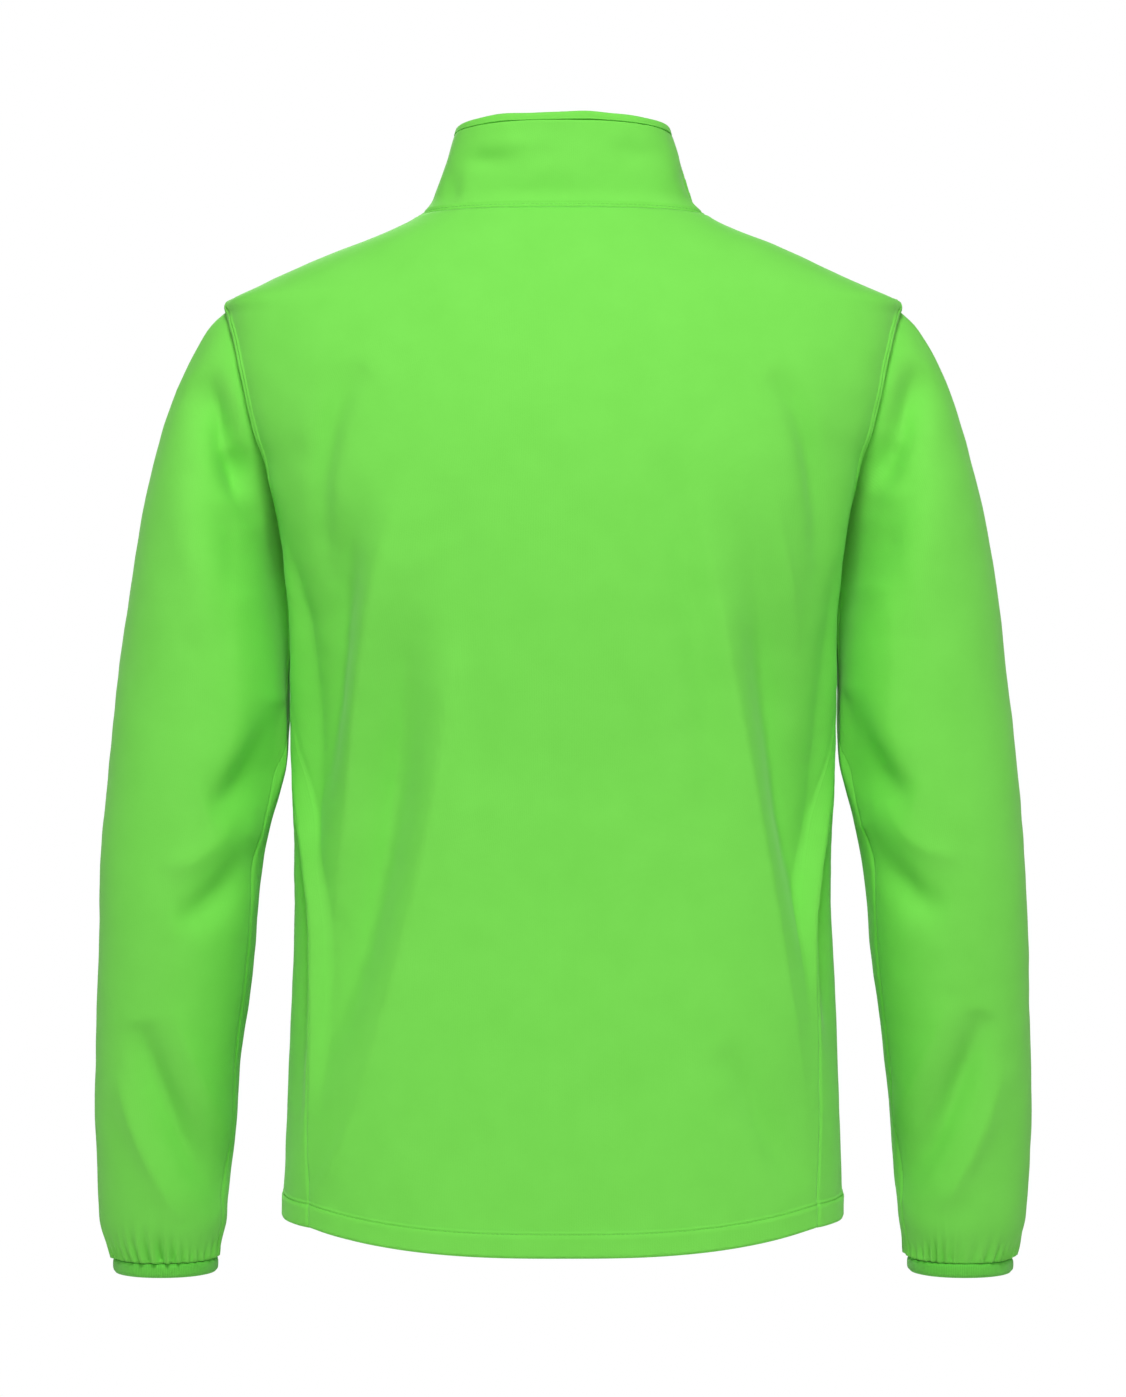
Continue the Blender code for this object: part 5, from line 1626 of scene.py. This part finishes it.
# %% Where the rows of stitches run
FRONT_EDGE_STITCHES = 0.0060


def stitch_lines():
    lines = []
    for facing, pieces in ((1, (BACK_PIECE, BACK_PIECE)), (-1, (FRONT_L_PIECE, FRONT_R_PIECE))):
        points, normals = beside_armhole(facing, ARMHOLE_BAND - STITCH_INSET)
        for piece, side in zip(pieces, (1, -1)):
            lines.append(laid_on(piece, points * (side, 1, 1), normals * (side, 1, 1)))
    in_hem = HEM_DEPTH - HEM_STITCH_INSET
    for piece, points in ((BACK_PIECE, BACK), (FRONT_L_PIECE, FRONT_L), (FRONT_R_PIECE, FRONT_R)):
        lines.append(laid_on(piece, *at_distance(points, grid_normals(points), in_hem)))
    lines.append(laid_on(COLLAR_PIECE, *at_distance(*collar_rows(COLLAR_HEIGHTS), COLLAR_STITCHES)))
    towards_zip = [grid[:, ::-1].transpose(1, 0, 2) for grid in (FRONT_L, grid_normals(FRONT_L))]
    points, normals = at_distance(*towards_zip, FRONT_EDGE_STITCHES)
    for piece, side in ((FRONT_L_PIECE, 1), (FRONT_R_PIECE, -1)):
        lines.append(laid_on(piece, points * (side, 1, 1), normals * (side, 1, 1)))
    return [line for line in lines if len(line) > 2]


# %% Make the stitches
STITCH_STEP = 0.0031
STITCH_SPREAD = 0.15
# The radius and the place along the stitch of each ring
STITCH_RINGS = (
    (0.00008, -0.00130),
    (0.00020, -0.00105),
    (0.00024, 0.0),
    (0.00020, 0.00105),
    (0.00008, 0.00130),
)


def one_stitch():
    """A short thread along Z, thin where it dips into the cloth."""
    angles = np.radians(np.arange(30, 390, 60))
    sections = [np.stack([radius * np.cos(angles), radius * np.sin(angles), np.full(6, z)],
                         axis=-1) for radius, z in STITCH_RINGS]
    return add_tube("stitch", np.array(sections), ())


STITCHES = make_rows("topstitches", stitch_lines(), one_stitch(), STITCH_STEP, STITCH_SPREAD,
                     THREAD)
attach(STITCHES, "jacket")

# %% [markdown]
# ## The cut of the cloth
#
# Each panel was a flat piece before it was sewn. Its flat size is its width across and its length
# down, plus the hem's turn-up on the body, and its area is what it has now, since softshell
# hangs without stretching.


def flat_size(points, closed=False):
    loop = np.concatenate([points, points[:, :1]], axis=1) if closed else points
    across = np.linalg.norm(np.diff(loop, axis=1), axis=-1).sum(axis=1).max()
    down = np.linalg.norm(np.diff(points, axis=0), axis=-1).sum(axis=0).max()
    return round(float(across), 3), round(float(down), 3)


def state_sheet(piece, points, turn_up=0.0, closed=False):
    width, length = flat_size(points, closed)
    area = layer_area(points, closed) + turn_up * width
    area = round(min(area, width * (length + turn_up)), 4)
    print(piece.name, "cut", (width, round(length + turn_up, 3)), "area", area)


state_sheet(BACK_PIECE, BACK_FACE, turn_up=HEM_DEPTH)
state_sheet(FRONT_L_PIECE, FRONT_L_FACE, turn_up=HEM_DEPTH)
state_sheet(FRONT_R_PIECE, FRONT_R_FACE, turn_up=HEM_DEPTH)
for sleeve in (LEFT_SLEEVE, RIGHT_SLEEVE):
    for part in ("upper", "under"):
        state_sheet(sleeve[part][0], sleeve[part][1])
state_sheet(CUFF_L, CUFF_FACE_L, closed=True)
state_sheet(CUFF_R, CUFF_FACE_R, closed=True)
state_sheet(COLLAR_PIECE, COLLAR_FACE)
state_sheet(COLLAR_INNER, np.array(collar_rows(np.linspace(1.0, 0.08, 12))[0]))

# %% [markdown]
# ## Floor, light and camera
#
# The jacket hangs at a standing wearer's height over a plain pale floor. Two soft square lights
# face its back, a strong one high above the camera and a weak one further away and lower. Others
# stand at the sides and in front, and a white room fills in. One bare lamp would draw hard
# shadows that a folded cloth under studio light doesn't have. The camera is level with the
# middle of the jacket, 2.6 m behind it, with a long lens.

# %% The floor and the lights
FLOOR_Z = -1.45
FLOOR_HALF = 3.0
LIGHTS_FACE = Vector((0, 0, -0.35))
# Place, side in metres, and power in watts
LIGHTS = {
    "key_high": ((0.0, 2.3, 2.1), 0.9, 72),
    "key_low": ((0.0, 3.2, 0.6), 0.9, 17),
    "left": ((2.4, 2.0, 0.8), 0.8, 4),
    "right": ((-2.4, 2.0, 0.8), 0.8, 5),
    "side_left": ((3.0, -0.3, 0.1), 1.6, 10),
    "side_right": ((-3.0, -0.3, 0.1), 1.6, 10),
    "front": ((0.4, -2.8, 1.4), 1.2, 55),
}


def make_floor():
    mesh = bpy.data.meshes.new("floor")
    corners = ((-1, -1), (1, -1), (1, 1), (-1, 1))
    mesh.from_pydata([(FLOOR_HALF * x, FLOOR_HALF * y, FLOOR_Z) for x, y in corners], [],
                     [(0, 1, 2, 3)])
    mesh.materials.append(new_material("pale_floor", (0.9, 0.9, 0.9), 0.7)[0])
    add_object("floor", mesh)


def add_light(name, place, size, power):
    """A soft square light that faces the jacket's middle."""
    data = bpy.data.lights.new(name, "AREA")
    data.size = size
    data.energy = power
    lamp = add_object(name, data)
    lamp.location = place
    lamp.rotation_euler = (LIGHTS_FACE - Vector(place)).to_track_quat("-Z", "Y").to_euler()


make_floor()
for name, (place, size, power) in LIGHTS.items():
    add_light(name, place, size, power)
print("lights:", ", ".join(LIGHTS))


# %% The white room
def make_world(white, strength):
    """A white room: pure white where the camera looks, and softer as a light."""
    world = bpy.data.worlds.new("studio")
    bpy.context.scene.world = world
    world.use_nodes = True
    tree = world.node_tree
    background = tree.nodes["Background"]
    set_inputs(background, {"Color": (*white, 1), "Strength": strength})
    seen = add_node(tree, "ShaderNodeBackground", Color=(1, 1, 1, 1))
    path = add_node(tree, "ShaderNodeLightPath")
    mix = add_node(tree, "ShaderNodeMixShader")
    link(tree, path, "Is Camera Ray", mix, "Fac")
    link(tree, background, "Background", mix, 1)
    link(tree, seen, "Background", mix, 2)
    link(tree, mix, "Shader", tree.nodes["World Output"], "Surface")


make_world((1.0, 1.0, 1.0), 0.14)
bpy.context.scene.view_settings.view_transform = "Standard"

# %% The camera
CAMERA_AWAY = 2.6
CAMERA_Z = -0.329
LENS = 98.5
SENSOR_HEIGHT = 36.0


def make_camera():
    data = bpy.data.cameras.new("camera")
    data.sensor_fit = "VERTICAL"
    data.sensor_height = SENSOR_HEIGHT
    data.lens = LENS
    camera = add_object("camera", data)
    camera.location = (0.0, CAMERA_AWAY, CAMERA_Z)
    camera.rotation_euler = (math.radians(90), 0, math.radians(180))
    bpy.context.scene.camera = camera


make_camera()
print("height in view:", round(SENSOR_HEIGHT / LENS * CAMERA_AWAY, 3), "m")
